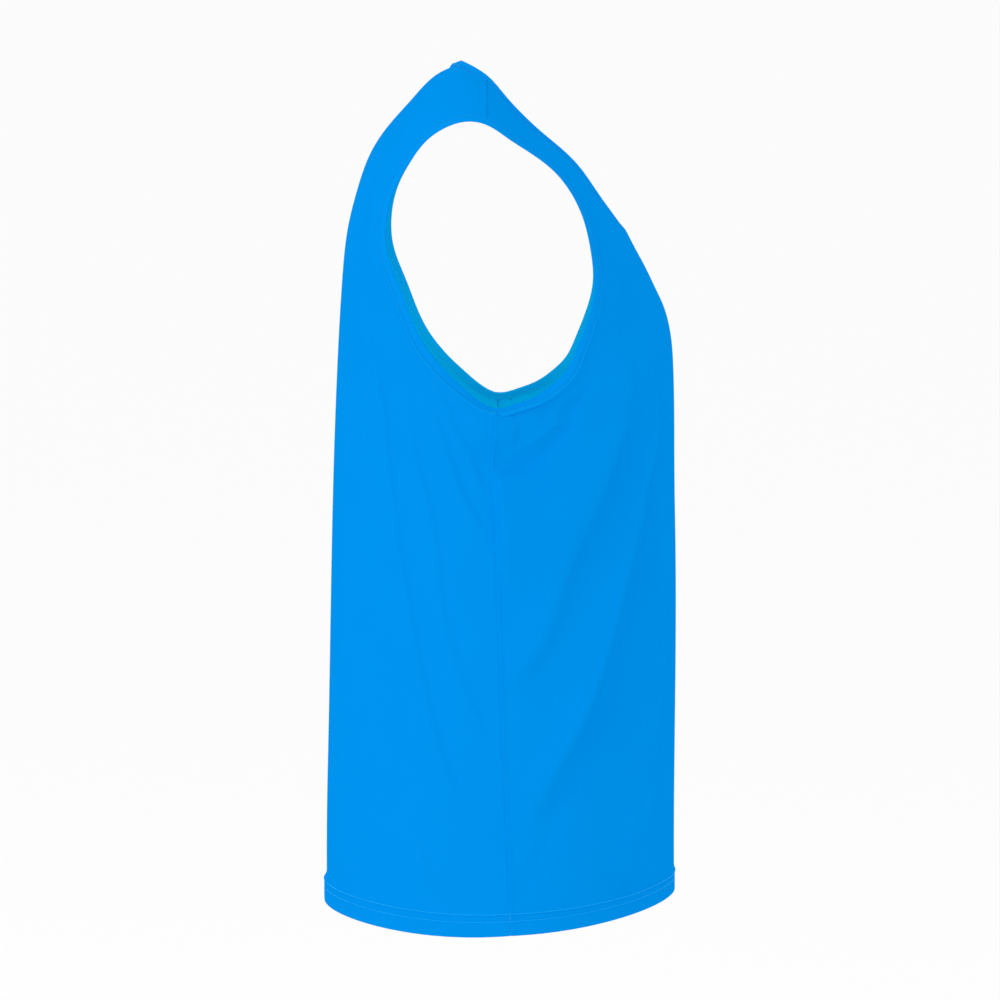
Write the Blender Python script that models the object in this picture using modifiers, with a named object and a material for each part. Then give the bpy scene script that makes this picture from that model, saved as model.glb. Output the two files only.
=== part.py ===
"""Training bib: a sleeveless knit vest, filled out as if worn, hollow and open at neck, armholes and hem.

Metres, +Z up. The front faces -Y and the wearer's left is +X. The origin lies midway between the two shoulder
seams, where the wearer's shoulders carry the cloth.

Front and back are each a wall of cloth lofted from rows. A row runs round the body from an inner edge (the
centre line, then the neckline) to an outer edge (the side seam, then the armhole). The bands are strips
between a seam and a finished edge. Every table is for the wearer's left side and mirrored for the right. Only
the folds and the hang of the armholes differ from side to side.
"""

import math
from collections import namedtuple

import bmesh
import bpy
import numpy as np

# Cloth and bands
CLOTH_WALL = 0.0012
HEM_WALL = 0.0022  # the hem is the cloth turned up, so it is double
HEM_FLARE = {"side": 0.0008, "front": 0.0004, "back": 0.0022}  # how far the doubled hem stands out
BAND_WALL = 0.0016
BAND_CROWN = 0.0006  # the folded band is fuller along its middle
ARM_BAND_WIDTH = 0.0100
SEAM_GAP = 0.0003
BAND_GAP = 0.00040  # as SEAM_GAP, with room for the slant of a mitred strip

# Rows of the loft, counted up from the hem, and columns from the centre to the side
ROWS = 40
HEM_ROW = 0.96  # the hem is turned up to here, 20 mm above the edge
ABOVE_HEM_ROW = 1.16
SHOULDER_ROWS = (38.6, 39.2, 39.6, 39.88)  # closer rows, so that the cloth runs over the shoulder in a round
SIDE_SEAM_ROWS = 22  # rows below the underarm; the rest end on the armhole
FRONT_CENTRE_ROWS = 31  # rows below the foot of the V; the rest start on the neckline
BACK_CENTRE_ROWS = 35
COLUMNS = 20
BAND_COLUMNS = 3
ROW_SAMPLES = 49  # points on a row's curve before they are spaced evenly
PATH_SAMPLES = 1500
FOLD_SAMPLES = 81

Profile = namedtuple("Profile", "y z")
Place = namedtuple("Place", "x y z")
Armhole = namedtuple("Armhole", "x y z lean turn")
Fullness = namedtuple("Fullness", "row inner outer")
Fold = namedtuple("Fold", "rise above below foot top crest")

# Centre lines, from the hem up to the neck band's seam
CENTRE_FRONT = [
    Profile(-0.1696, -0.7112),
    Profile(-0.1695, -0.6500),
    Profile(-0.1707, -0.5130),
    Profile(-0.1706, -0.4000),
    Profile(-0.1694, -0.2800),
    Profile(-0.1697, -0.2350),
    Profile(-0.1683, -0.2155),
    Profile(-0.1650, -0.1993),
    Profile(-0.1604, -0.1853),
    Profile(-0.1537, -0.1714),
    Profile(-0.1411, -0.1459),
    Profile(-0.1348, -0.1345),
    Profile(-0.1270, -0.1193),
]
CENTRE_BACK = [
    Profile(0.1435, -0.7212),
    Profile(0.1435, -0.6490),
    Profile(0.1421, -0.5770),
    Profile(0.1383, -0.3780),
    Profile(0.1340, -0.2430),
    Profile(0.1303, -0.1700),
    Profile(0.1249, -0.1167),
    Profile(0.1159, -0.0807),
    Profile(0.1024, -0.0448),
    Profile(0.0835, -0.0179),
    Profile(0.0673, 0.0001),
    Profile(0.0507, 0.0180),
    Profile(0.0422, 0.0244),
    Profile(0.0319, 0.0293),
]

# The side seam below the armhole band, from the hem up
SIDE_SEAM = [
    Place(0.212, -0.0244, -0.7309),
    Place(0.205, -0.0200, -0.6289),
    Place(0.192, -0.0142, -0.4973),
    Place(0.181, -0.0109, -0.3991),
    Place(0.174, -0.0077, -0.3474),
    Place(0.170, -0.0060, -0.3176),
]

# The neck band's seam and its finished edge: from the foot of the V over the shoulder to the centre back
NECK_SEAM = [
    Place(0.000, -0.1270, -0.1193),
    Place(0.014, -0.1024, -0.0895),
    Place(0.030, -0.0783, -0.0558),
    Place(0.047, -0.0501, -0.0306),
    Place(0.065, -0.0246, -0.0062),
    Place(0.083, -0.0017, 0.0190),
    Place(0.071, 0.0145, 0.0275),
    Place(0.050, 0.0235, 0.0318),
    Place(0.027, 0.0295, 0.0325),
    Place(0.000, 0.0319, 0.0293),
]
NECK_EDGE = [
    Place(0.000, -0.1047, -0.0903),
    Place(0.0160, -0.0797, -0.0547),
    Place(0.0340, -0.0491, -0.0278),
    Place(0.0465, -0.0319, -0.0116),
    Place(0.060, -0.0168, 0.0049),
    Place(0.068, -0.0025, 0.0206),
    Place(0.062, 0.0075, 0.0276),
    Place(0.046, 0.0165, 0.0327),
    Place(0.024, 0.0215, 0.0352),
    Place(0.000, 0.0228, 0.0352),
]
NECK_SHOULDER_STATION = {"seam": 5, "edge": 5}

# The armhole's finished edge, from the underarm up the front, over the shoulder and down the back.
# The cloth there faces sideways: lean tips that facing up, and turn swings it to the front (all in degrees).
ARMHOLE_EDGE = [
    Armhole(0.165, -0.0105, -0.2674, 6, 0),
    Armhole(0.164, -0.0296, -0.2635, 5, 10),
    Armhole(0.162, -0.0453, -0.2574, 4, 18),
    Armhole(0.159, -0.0611, -0.2465, 2, 27),
    Armhole(0.155, -0.0734, -0.2341, 0, 34),
    Armhole(0.151, -0.0825, -0.2160, 0, 40),
    Armhole(0.146, -0.0926, -0.1905, 2, 45),
    Armhole(0.142, -0.0984, -0.1647, 6, 48),
    Armhole(0.140, -0.0966, -0.1377, 12, 50),
    Armhole(0.142, -0.0898, -0.1037, 22, 50),
    Armhole(0.146, -0.0796, -0.0800, 32, 48),
    Armhole(0.152, -0.0644, -0.0595, 40, 42),
    Armhole(0.158, -0.0443, -0.0432, 46, 32),
    Armhole(0.164, -0.0224, -0.0288, 50, 18),
    Armhole(0.168, -0.0021, -0.0163, 52, 4),
    Armhole(0.168, 0.0140, -0.0137, 52, -8),
    Armhole(0.166, 0.0321, -0.0185, 50, -18),
    Armhole(0.162, 0.0502, -0.0305, 45, -28),
    Armhole(0.156, 0.0672, -0.0527, 36, -38),
    Armhole(0.151, 0.0801, -0.0755, 27, -45),
    Armhole(0.149, 0.0868, -0.1038, 16, -48),
    Armhole(0.150, 0.0853, -0.1329, 8, -46),
    Armhole(0.153, 0.0739, -0.1638, 3, -42),
    Armhole(0.157, 0.0562, -0.2051, 0, -33),
    Armhole(0.160, 0.0455, -0.2253, 0, -26),
    Armhole(0.162, 0.0336, -0.2429, 2, -20),
    Armhole(0.164, 0.0190, -0.2540, 4, -12),
    Armhole(0.165, 0.0039, -0.2626, 5, -5),
]
SHOULDER_STATION = 14
LEFT_ARMHOLE = {"back": 0.002, "down": 0.0035, "from": -0.02, "over": 0.08}  # it hangs a little lower

# How full a row's curve is at each end, as a share of its run: 0.55 is an ellipse's quarter, more is squarer
FRONT_FULLNESS = [
    Fullness(0, 0.56, 0.56),
    Fullness(16, 0.56, 0.56),
    Fullness(24, 0.60, 0.50),
    Fullness(31, 0.50, 0.42),
    Fullness(38, 0.36, 0.36),
    Fullness(40, 0.36, 0.36),
]
BACK_FULLNESS = [
    Fullness(0, 0.56, 0.56),
    Fullness(16, 0.56, 0.56),
    Fullness(24, 0.62, 0.50),
    Fullness(32, 0.52, 0.42),
    Fullness(38, 0.36, 0.36),
    Fullness(40, 0.36, 0.36),
]
SHOULDER_FALL = 12  # degrees by which the shoulder seam falls where it leaves the neck band
FALL_REACH = {"front": 0.5, "back": 1.0}  # the share of the neckline over which that fall comes in
HEM_SLOPE = {"front": -0.045, "back": 0.085}  # how steeply the hem falls toward the side seam where it meets it
HEM_SLOPE_ROWS = 3
EASE_ROWS = 1.2  # rows over which a corner of the panel's edge is eased away inside the panel
EASE_REACH = 0.060

# Loose cloth hangs in swags under the arm, from chest and shoulder blade down to the side seam. A fold rises
# along its crest, a line of points on the cloth: the distance round from the side seam, then the height. It
# falls away over one distance above, toward the seam, and another below, and fades over the foot and top shares
# of its length.
FRONT_FOLDS = [
    Fold(0.0045, 0.013, 0.008, 0.05, 0.35, [(0.000, -0.309), (0.022, -0.303), (0.047, -0.284), (0.080, -0.216)]),
    Fold(0.0060, 0.024, 0.013, 0.10, 0.40, [(0.002, -0.497), (0.037, -0.458), (0.064, -0.366), (0.124, -0.240)]),
    Fold(0.0080, 0.026, 0.016, 0.12, 0.35, [(0.010, -0.630), (0.064, -0.536), (0.124, -0.395), (0.172, -0.230)]),
    Fold(0.0055, 0.024, 0.020, 0.20, 0.35, [(0.060, -0.700), (0.120, -0.615), (0.172, -0.480), (0.210, -0.330)]),
    Fold(0.0022, 0.018, 0.018, 0.15, 0.35, [(0.232, -0.712), (0.230, -0.520), (0.224, -0.340)]),
]
BACK_FOLDS = [
    Fold(0.0030, 0.010, 0.020, 0.10, 0.30, [(0.046, -0.632), (0.086, -0.490), (0.118, -0.292), (0.166, -0.160)]),
    Fold(0.0036, 0.010, 0.018, 0.10, 0.30, [(0.012, -0.592), (0.052, -0.484), (0.068, -0.375), (0.086, -0.240)]),
    Fold(0.0035, 0.022, 0.022, 0.15, 0.35, [(0.205, -0.720), (0.200, -0.500), (0.192, -0.300)]),
]
LEFT_SIDE = {"round": 0.007, "up": -0.021, "rise": 0.85}  # the same folds on the left, shifted and lower
SEAM_HOLD = 0.012  # next to a seam the cloth is held in, and folds die out over this distance
HEM_HOLD = {"height": 0.05, "share": 0.4}  # the stiffer hem keeps only this share of a fold

BLUE = (0.0, 0.29, 0.84, 1.0)


def unit(vectors):
    """Each vector over its length."""
    return vectors / np.linalg.norm(vectors, axis=-1, keepdims=True)


def smoothstep(value):
    """0 below 0, 1 above 1, and 3v^2 - 2v^3 between."""
    value = np.clip(value, 0.0, 1.0)
    return value * value * (3.0 - 2.0 * value)


def cubic_spline(knots, values, where):
    """The natural cubic through values at knots: slopes and curvatures run on from span to span."""
    count = len(knots)
    span = np.diff(knots)
    rise = np.diff(values, axis=0) / span[:, None]
    system = np.eye(count)
    right = np.zeros_like(values)
    inside = np.arange(1, count - 1)
    system[inside, inside - 1] = span[:-1]
    system[inside, inside] = 2.0 * (span[:-1] + span[1:])
    system[inside, inside + 1] = span[1:]
    right[1:-1] = 6.0 * (rise[1:] - rise[:-1])
    bend = np.linalg.solve(system, right)
    i = np.clip(np.searchsorted(knots, where) - 1, 0, count - 2)
    width = span[i][:, None]
    before = (knots[i + 1] - where)[:, None] / width
    after = 1.0 - before
    return (
        before * values[i]
        + after * values[i + 1]
        + ((before**3 - before) * bend[i] + (after**3 - after) * bend[i + 1]) * width**2 / 6.0
    )


Path = namedtuple("Path", "distance values marks")


def path_through(stations, loop=False):
    """A smooth path through table rows: distances along it, every column there, and each row's distance."""
    table = np.array(stations, float)
    count = len(table)
    if loop:
        wrap = 4
        table = np.concatenate([table[-wrap:], table, table[: wrap + 1]])
    knots = np.concatenate([[0.0], np.cumsum(np.linalg.norm(np.diff(table[:, :3], axis=0), axis=1))])
    first, last = (knots[wrap], knots[wrap + count]) if loop else (knots[0], knots[-1])
    where = np.linspace(first, last, PATH_SAMPLES)
    values = cubic_spline(knots, table, where)
    steps = np.linalg.norm(np.diff(values[:, :3], axis=0), axis=1)
    distance = np.concatenate([[0.0], np.cumsum(steps)])
    own = knots[wrap : wrap + count] if loop else knots
    return Path(distance, values, np.interp(own, where, distance))


def along(path, distance):
    """Every column of the path at these distances."""
    return np.stack([np.interp(distance, path.distance, column) for column in path.values.T], axis=-1)


def armhole_path(side):
    """The armhole's edge with, at each point, the way the cloth faces and the way across its band to the edge."""
    path = path_through(ARMHOLE_EDGE, loop=True)
    edge, lean, turn = path.values[:, :3].copy(), *np.radians(path.values[:, 3:].T)
    if side > 0:
        hang = smoothstep((LEFT_ARMHOLE["from"] - edge[:, 2:]) / LEFT_ARMHOLE["over"])
        edge += hang * [0.0, LEFT_ARMHOLE["back"], -LEFT_ARMHOLE["down"]]
    facing = np.stack([np.cos(lean) * np.cos(turn), -np.cos(lean) * np.sin(turn), np.sin(lean)], axis=-1)
    forward = unit(np.gradient(edge, axis=0))
    forward[0] = forward[-1] = unit(edge[1] - edge[-2])
    facing = unit(facing - np.sum(facing * forward, axis=-1, keepdims=True) * forward)
    across = np.cross(forward, facing)
    return path._replace(values=np.concatenate([edge, facing, across], axis=1))


def neck_points(kind, rows, front):
    """Points of the neck band's seam or edge for rows from the centre, front or back, to the shoulder.

    The path runs right round from the foot of the V to itself, so that it is smooth at shoulder and centre back.
    """
    table = NECK_SEAM if kind == "seam" else NECK_EDGE
    path = path_through([*table, *(Place(-p.x, p.y, p.z) for p in table[-2::-1])])
    shoulder = path.marks[NECK_SHOULDER_STATION[kind]]
    turn_row = FRONT_CENTRE_ROWS if front else BACK_CENTRE_ROWS
    share = np.clip((rows - turn_row) / (ROWS - turn_row), 0.0, 1.0)
    if front:
        return along(path, share * (shoulder - SEAM_GAP / 2))
    middle = path.marks[len(table) - 1]
    return along(path, middle - share * (middle - shoulder - SEAM_GAP / 2))


def armhole_rows(path, rows, front):
    """For each row above the underarm: the edge point, the facing and the way across the band."""
    shoulder = path.marks[SHOULDER_STATION]
    share = np.clip((rows - SIDE_SEAM_ROWS) / (ROWS - SIDE_SEAM_ROWS), 0.0, 1.0)
    if front:
        distance = share * (shoulder - SEAM_GAP / 2)
    else:
        distance = path.distance[-1] - share * (path.distance[-1] - shoulder - SEAM_GAP / 2)
    found = along(path, distance)
    return found[:, :3], unit(found[:, 3:6]), unit(found[:, 6:9])


def loft_rows():
    """Row numbers of the loft, closer together at the hem and over the shoulder."""
    return np.array([0.0, HEM_ROW, ABOVE_HEM_ROW, *range(2, ROWS - 1), *SHOULDER_ROWS, ROWS])


def column(table, rows, name):
    """A column of a fullness table at each row."""
    return np.interp(rows, [entry.row for entry in table], [getattr(entry, name) for entry in table])


def eased(points, rows, corner_row, near):
    """The grid with its rows near corner_row drawn toward a running mean of the rows above and below.

    A panel's edge turns a corner there, at the underarm or at the end of the centre line. Without this the turn
    would cross the whole panel as a crease. It fades where near, the distance from that edge, goes to nothing.
    """
    mean = np.exp(-(((rows[:, None] - rows[None, :]) / EASE_ROWS) ** 2)) * np.gradient(rows)
    mean = mean / mean.sum(axis=1, keepdims=True)
    share = np.exp(-(((rows - corner_row) / (1.5 * EASE_ROWS)) ** 2))[:, None] * smoothstep(near / EASE_REACH)
    return points + (np.tensordot(mean, points, axes=1) - points) * share[..., None]


Panel = namedtuple("Panel", "points facing aside height from_centre from_side")


def panel(front, side, rows, columns):
    """One half of a panel without folds, as a grid of rows by columns from the centre to the side.

    Each row is a cubic curve. It leaves the centre square to it, and it meets the side seam running straight
    back or forward, so that front and back run on into each other.
    """
    centre = path_through([(0.0, p.y, p.z) for p in (CENTRE_FRONT if front else CENTRE_BACK)])
    centre_rows = FRONT_CENTRE_ROWS if front else BACK_CENTRE_ROWS
    arm = armhole_path(side)
    edge, facing, across = armhole_rows(arm, rows, front)
    arm_seam = edge - across * ARM_BAND_WIDTH
    underarm = along(arm, np.array([0.0]))[0]
    underarm = underarm[:3] - underarm[6:9] * ARM_BAND_WIDTH
    seam = path_through([*SIDE_SEAM, tuple(underarm)])
    on_side = (rows <= SIDE_SEAM_ROWS)[:, None]
    share = np.clip(rows / centre_rows, 0.0, 1.0)
    below = along(centre, share * centre.distance[-1])
    start = np.where((rows < centre_rows)[:, None], below, neck_points("seam", rows, front))
    back = np.array([0.0, 1.0 if front else -1.0, 0.0])
    share = np.clip(rows / SIDE_SEAM_ROWS, 0.0, 1.0)
    end = np.where(on_side, along(seam, share * seam.distance[-1]) - back * SEAM_GAP / 2, arm_seam)

    up_share = smoothstep((rows - SIDE_SEAM_ROWS) / (ROWS - SIDE_SEAM_ROWS))[:, None]
    level = unit(np.cross([0.0, 0.0, 1.0], facing)) * back[1]
    slope = HEM_SLOPE["front" if front else "back"] * np.clip(1.0 - rows / HEM_SLOPE_ROWS, 0.0, 1.0)
    down_hem = unit(back + slope[:, None] * [0.0, 0.0, 1.0])
    leave = np.where(on_side, down_hem, unit(level * (1.0 - up_share) + across * up_share))
    fall_rows = (ROWS - centre_rows) * FALL_REACH["front" if front else "back"]
    neck_share = smoothstep((rows - centre_rows) / fall_rows)[:, None]
    fall = math.radians(SHOULDER_FALL)
    enter = unit((1.0 - neck_share) * [1.0, 0.0, 0.0] + neck_share * [math.cos(fall), 0.0, -math.sin(fall)])

    chord = end - start
    fullness = FRONT_FULLNESS if front else BACK_FULLNESS
    inner = column(fullness, rows, "inner") * np.abs(np.sum(chord * enter, axis=1))
    outer = column(fullness, rows, "outer") * np.abs(np.sum(chord * leave, axis=1))
    one, two = start + enter * inner[:, None], end - leave * outer[:, None]
    t = np.linspace(0.0, 1.0, ROW_SAMPLES)[None, :, None]
    curve = (
        (1 - t) ** 3 * start[:, None]
        + 3 * (1 - t) ** 2 * t * one[:, None]
        + 3 * (1 - t) * t**2 * two[:, None]
        + t**3 * end[:, None]
    )
    run = np.linalg.norm(np.diff(curve, axis=1), axis=2)
    run = np.concatenate([np.zeros((len(rows), 1)), np.cumsum(run, axis=1)], axis=1)
    shares = np.linspace(0.0, 1.0, columns + 1)
    points = np.array(
        [
            np.stack([np.interp(shares * length[-1], length, line[:, k]) for k in range(3)], axis=-1)
            for length, line in zip(run, curve)
        ]
    )
    points[rows <= centre_rows, 0, 0] = 0.0
    from_centre = shares[None, :] * run[:, -1:]
    from_side = run[:, -1:] - from_centre
    for corner_row, near in ((SIDE_SEAM_ROWS, from_side), (centre_rows, np.minimum(from_centre, from_side))):
        points = eased(points, rows, corner_row, near)
    outward = np.cross(np.gradient(points, axis=1), np.gradient(points, rows, axis=0)) * back[1]
    girth = np.interp(np.minimum(rows, SIDE_SEAM_ROWS), rows, run[:, -1])
    aside = girth[:, None] - points[:, :1, 0] - from_centre
    return Panel(points, unit(outward), aside, points[..., 2], from_centre, from_side)


def fold_rise(grid, fold, round_by, up_by):
    """How far one fold lifts each point: rise * exp(-(q / width)^2), with q the distance from the crest."""
    crest = path_through(fold.crest).values + [round_by, up_by]
    crest = crest[np.linspace(0, PATH_SAMPLES - 1, FOLD_SAMPLES).astype(int)]
    offset = np.stack([grid.aside, grid.height], axis=-1)[..., None, :] - crest
    nearest = np.argmin(np.sum(offset**2, axis=-1), axis=-1)
    offset = np.take_along_axis(offset, nearest[..., None, None], axis=-2)[..., 0, :]
    up_crest = unit(np.gradient(crest, axis=0))[nearest]
    above = up_crest[..., 0] * offset[..., 1] - up_crest[..., 1] * offset[..., 0] > 0.0
    width = np.where(above, fold.above, fold.below)
    share = nearest / (FOLD_SAMPLES - 1)
    ends = smoothstep(share / fold.foot) * smoothstep((1.0 - share) / fold.top)
    return fold.rise * ends * np.exp(-np.sum(offset**2, axis=-1) / width**2)


def folded(grid, front, side):
    """How far all folds of one half lift each point of its panel."""
    left = side > 0
    round_by, up_by = (LEFT_SIDE["round"], LEFT_SIDE["up"]) if left else (0.0, 0.0)
    lifted = sum(fold_rise(grid, fold, round_by, up_by) for fold in (FRONT_FOLDS if front else BACK_FOLDS))
    held = smoothstep(grid.from_side / SEAM_HOLD) * smoothstep(grid.from_centre / SEAM_HOLD)
    above_hem = (grid.height - grid.height[:1]) / HEM_HOLD["height"]
    held = held * (HEM_HOLD["share"] + (1.0 - HEM_HOLD["share"]) * smoothstep(above_hem))
    return lifted * held * (LEFT_SIDE["rise"] if left else 1.0)


def mesh_object(name, vertices, faces, wall, group_weights=None, thin_share=1.0):
    """An open surface given its wall inwards by Solidify, with a thinner wall where the weights are 0."""
    mesh = bpy.data.meshes.new(name)
    mesh.from_pydata(vertices.tolist(), [], faces.tolist())
    model = bmesh.new()
    model.from_mesh(mesh)
    model.verts.ensure_lookup_table()
    weights = model.verts.layers.deform.verify()
    if group_weights is not None:
        for vertex, weight in zip(model.verts, group_weights):
            vertex[weights][0] = float(weight)
    bmesh.ops.remove_doubles(model, verts=model.verts, dist=1e-6)
    model.to_mesh(mesh)
    model.free()
    mesh.shade_smooth()
    thing = bpy.data.objects.new(name, mesh)
    solidify = thing.modifiers.new("Wall", "SOLIDIFY")
    solidify.thickness = wall
    solidify.offset = -1.0
    solidify.use_even_offset = False
    if group_weights is not None:
        thing.vertex_groups.new(name="doubled")
        solidify.vertex_group = "doubled"
        solidify.thickness_vertex_group = thin_share
    return thing


def grid_faces(rows, columns, first=0, flip=False, closed=False):
    """Quads of a grid of points stored row by row; closed joins the last row to the first."""
    across = np.arange(columns - 1)
    up = np.arange(rows if closed else rows - 1)
    low = (up[:, None] * columns + across[None, :]).reshape(-1)
    high = (((up + 1) % rows)[:, None] * columns + across[None, :]).reshape(-1)
    quads = np.stack([low, low + 1, high + 1, high], axis=1) + first
    return quads[:, ::-1] if flip else quads


def make_panel(name, front):
    """Front or back: both halves, folded, joined along the centre line, with the hem's wall doubled."""
    rows = loft_rows()
    shares = np.linspace(0.0, 1.0, COLUMNS + 1)
    flare = HEM_FLARE["front" if front else "back"] * (1.0 - shares) + HEM_FLARE["side"] * shares
    doubled = np.repeat((rows <= HEM_ROW)[:, None], COLUMNS + 1, axis=1).astype(float)
    halves, weights, faces = [], [], []
    for number, side in enumerate((1, -1)):
        grid = panel(front, side, rows, COLUMNS)
        out = folded(grid, front, side) + doubled * flare
        points = grid.points + grid.facing * out[..., None]
        points[rows <= (FRONT_CENTRE_ROWS if front else BACK_CENTRE_ROWS), 0, 0] = 0.0
        halves.append((points * [side, 1.0, 1.0]).reshape(-1, 3))
        weights.append(doubled.reshape(-1))
        first = number * len(halves[0])
        faces.append(grid_faces(len(rows), COLUMNS + 1, first, flip=(side < 0) == front))
    return mesh_object(
        name,
        np.concatenate(halves),
        np.concatenate(faces),
        HEM_WALL,
        np.concatenate(weights),
        CLOTH_WALL / HEM_WALL,
    )


def strip(seam, edge, facing):
    """A band's points across from its seam to its finished edge, crowned between the two."""
    share = np.linspace(0.0, 1.0, BAND_COLUMNS + 1)[None, :, None]
    width = np.linalg.norm(edge - seam, axis=1)[:, None, None]
    share = BAND_GAP / width + share * (1.0 - BAND_GAP / width)
    crown = BAND_CROWN * np.sin(math.pi * share)
    return seam[:, None] * (1 - share) + edge[:, None] * share + facing[:, None] * crown


def make_armhole_band(name, side):
    """The folded strip round one armhole, its stations on the panels' own rows."""
    rows = loft_rows()
    rows = rows[rows >= SIDE_SEAM_ROWS]
    path = armhole_path(side)
    up_front = armhole_rows(path, rows, front=True)
    down_back = [part[::-1] for part in armhole_rows(path, rows, front=False)]
    edge, facing, across = (np.concatenate([a[:-1], b[:-1]]) for a, b in zip(up_front, down_back))
    points = strip(edge - across * ARM_BAND_WIDTH, edge, facing) * [side, 1.0, 1.0]
    faces = grid_faces(len(points), BAND_COLUMNS + 1, flip=side > 0, closed=True)
    return mesh_object(name, points.reshape(-1, 3), faces, BAND_WALL)


def neck_rows(front):
    """Seam points, edge points and facings on the panels' own rows, from the centre to the shoulder."""
    rows = loft_rows()
    rows = rows[rows >= (FRONT_CENTRE_ROWS if front else BACK_CENTRE_ROWS)]
    seam, edge = (neck_points(kind, rows, front) for kind in ("seam", "edge"))
    run = unit(np.gradient(seam, axis=0))
    facing = unit(np.cross(edge - seam, run)) * (-1.0 if front else 1.0)
    return seam, edge, facing


def make_neck_band(name):
    """The folded strip round the neck, mitred where its two ends meet at the foot of the V."""
    seam, edge, facing = (np.concatenate([a, b[::-1][1:]]) for a, b in zip(neck_rows(True), neck_rows(False)))
    facing[0, 0] = facing[-1, 0] = 0.0
    half = strip(seam, edge, unit(facing))
    other = (half * [-1.0, 1.0, 1.0])[::-1][1:-1]
    points = np.concatenate([half, other])
    faces = grid_faces(len(points), BAND_COLUMNS + 1, flip=True, closed=True)
    return mesh_object(name, points.reshape(-1, 3), faces, BAND_WALL)


def cloth_material(name):
    """Smooth blue sports knit."""
    material = bpy.data.materials.new(name)
    material.use_nodes = True
    shader = material.node_tree.nodes["Principled BSDF"]
    shader.inputs["Base Color"].default_value = BLUE
    shader.inputs["Roughness"].default_value = 0.7
    shader.inputs["Metallic"].default_value = 0.0
    material.diffuse_color = BLUE
    return material


def main():
    for thing in list(bpy.data.objects):
        bpy.data.objects.remove(thing)
    parts = bpy.data.collections.new("training_bib")
    bpy.context.scene.collection.children.link(parts)
    pieces = [
        make_panel("front_panel", front=True),
        make_panel("back_panel", front=False),
        make_neck_band("neck_band"),
        make_armhole_band("armhole_band_left", side=1),
        make_armhole_band("armhole_band_right", side=-1),
    ]
    for piece in pieces:
        parts.objects.link(piece)
        piece.data.materials.append(cloth_material(piece.name + "_cloth"))


main()
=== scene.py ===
# %% [markdown]
# # A training bib, filled out as if worn
# A bib is cut from two panels of light knit: a front with a V neck and a back. They are sewn together at the
# shoulders and down the sides. A folded strip finishes the neck and each armhole, and the hem is the cloth
# itself, turned up and coverstitched. Nothing in it is stiff, so all that a viewer sees is how the cloth hangs.
#
# It could be simulated, but a simulation chooses its own folds. Here the folds are known, so each panel is a
# surface of rows and columns worked out from a few measured lines, and each fold is a soft rise along a line
# on the cloth.

import math
from collections import namedtuple

import bpy
import numpy as np
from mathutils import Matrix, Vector


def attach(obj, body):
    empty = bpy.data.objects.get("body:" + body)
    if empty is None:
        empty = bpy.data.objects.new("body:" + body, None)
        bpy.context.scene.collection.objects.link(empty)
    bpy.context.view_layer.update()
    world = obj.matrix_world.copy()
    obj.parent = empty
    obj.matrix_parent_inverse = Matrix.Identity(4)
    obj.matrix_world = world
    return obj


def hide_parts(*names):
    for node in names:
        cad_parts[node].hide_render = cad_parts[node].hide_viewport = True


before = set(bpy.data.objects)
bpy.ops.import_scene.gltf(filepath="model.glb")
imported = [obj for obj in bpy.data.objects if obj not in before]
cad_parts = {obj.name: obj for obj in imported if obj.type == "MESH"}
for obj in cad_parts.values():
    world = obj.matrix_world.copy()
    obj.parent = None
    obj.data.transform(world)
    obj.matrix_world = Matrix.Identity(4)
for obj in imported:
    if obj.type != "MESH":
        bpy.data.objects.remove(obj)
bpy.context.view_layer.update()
print("solids:", sorted(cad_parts))

# %% [markdown]
# ## Camera, light and floor
# The bib was photographed from its right side with a long lens, a little from above, so that its far edges
# show just behind the near ones. A lens of 361 mm at nine metres keeps that flat look. The light is a pale
# room from everywhere and one large soft lamp above and behind the garment, because its back is a little
# brighter than its front. Two small lamps stand inside the garment, because its inner side, which shows
# through the armhole and the neck, is well lit too. Light that bounces between blue walls grows bluer, so
# theirs is yellowish. They are balanced for the thin strip of inner cloth that this camera sees: from other
# sides the inner cloth looks turquoise, which the real one wouldn't.

# %% Camera
CAMERA_PLACE = Vector((-8.99933, -0.12255, 0.233))
CAMERA_TURN = math.radians(0.7)
CAMERA_PITCH = math.radians(-3.768)
LENS = 360.8
SENSOR_WIDTH = 36.0
FARTHEST_SEEN = 600.0


def put_in_scene(name, data):
    """A new object in the scene for this camera, lamp or mesh."""
    made = bpy.data.objects.new(name, data)
    bpy.context.scene.collection.objects.link(made)
    return made


camera = put_in_scene("camera", bpy.data.cameras.new("camera"))
camera.data.lens = LENS
camera.data.sensor_width = SENSOR_WIDTH
camera.data.clip_end = FARTHEST_SEEN
camera.location = CAMERA_PLACE
level = Vector((math.cos(CAMERA_TURN), math.sin(CAMERA_TURN), 0.0))
looking = level * math.cos(CAMERA_PITCH) + Vector((0.0, 0.0, math.sin(CAMERA_PITCH)))
camera.rotation_euler = looking.to_track_quat("-Z", "Y").to_euler()
bpy.context.scene.camera = camera
bpy.context.scene.view_settings.view_transform = "Standard"
print("camera looks along", [round(v, 3) for v in looking])

# %% Light and floor
ROOM_STRENGTH = 1.0
KEY_WATTS = 36.0
KEY_PLACE = Vector((-3.4, 3.4, 1.8))
KEY_AIM = Vector((0.0, 0.0, -0.35))
KEY_SIZE = 2.6
Lamp = namedtuple("Lamp", "watts place")
INSIDE_LAMPS = {
    "chest": Lamp(0.90, Vector((0.0, -0.01, -0.33))),
    "neck": Lamp(0.65, Vector((0.0, -0.03, -0.13))),
}
INSIDE_COLOUR = (1.0, 1.0, 0.26)
INSIDE_SIZE = 0.06
FLOOR_Z = -1.15
FLOOR_SIZE = 500.0
FLOOR_FINISH = {"Base Color": (0.97, 0.97, 0.97, 1.0), "Roughness": 1.0, "Specular IOR Level": 0.0}


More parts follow.
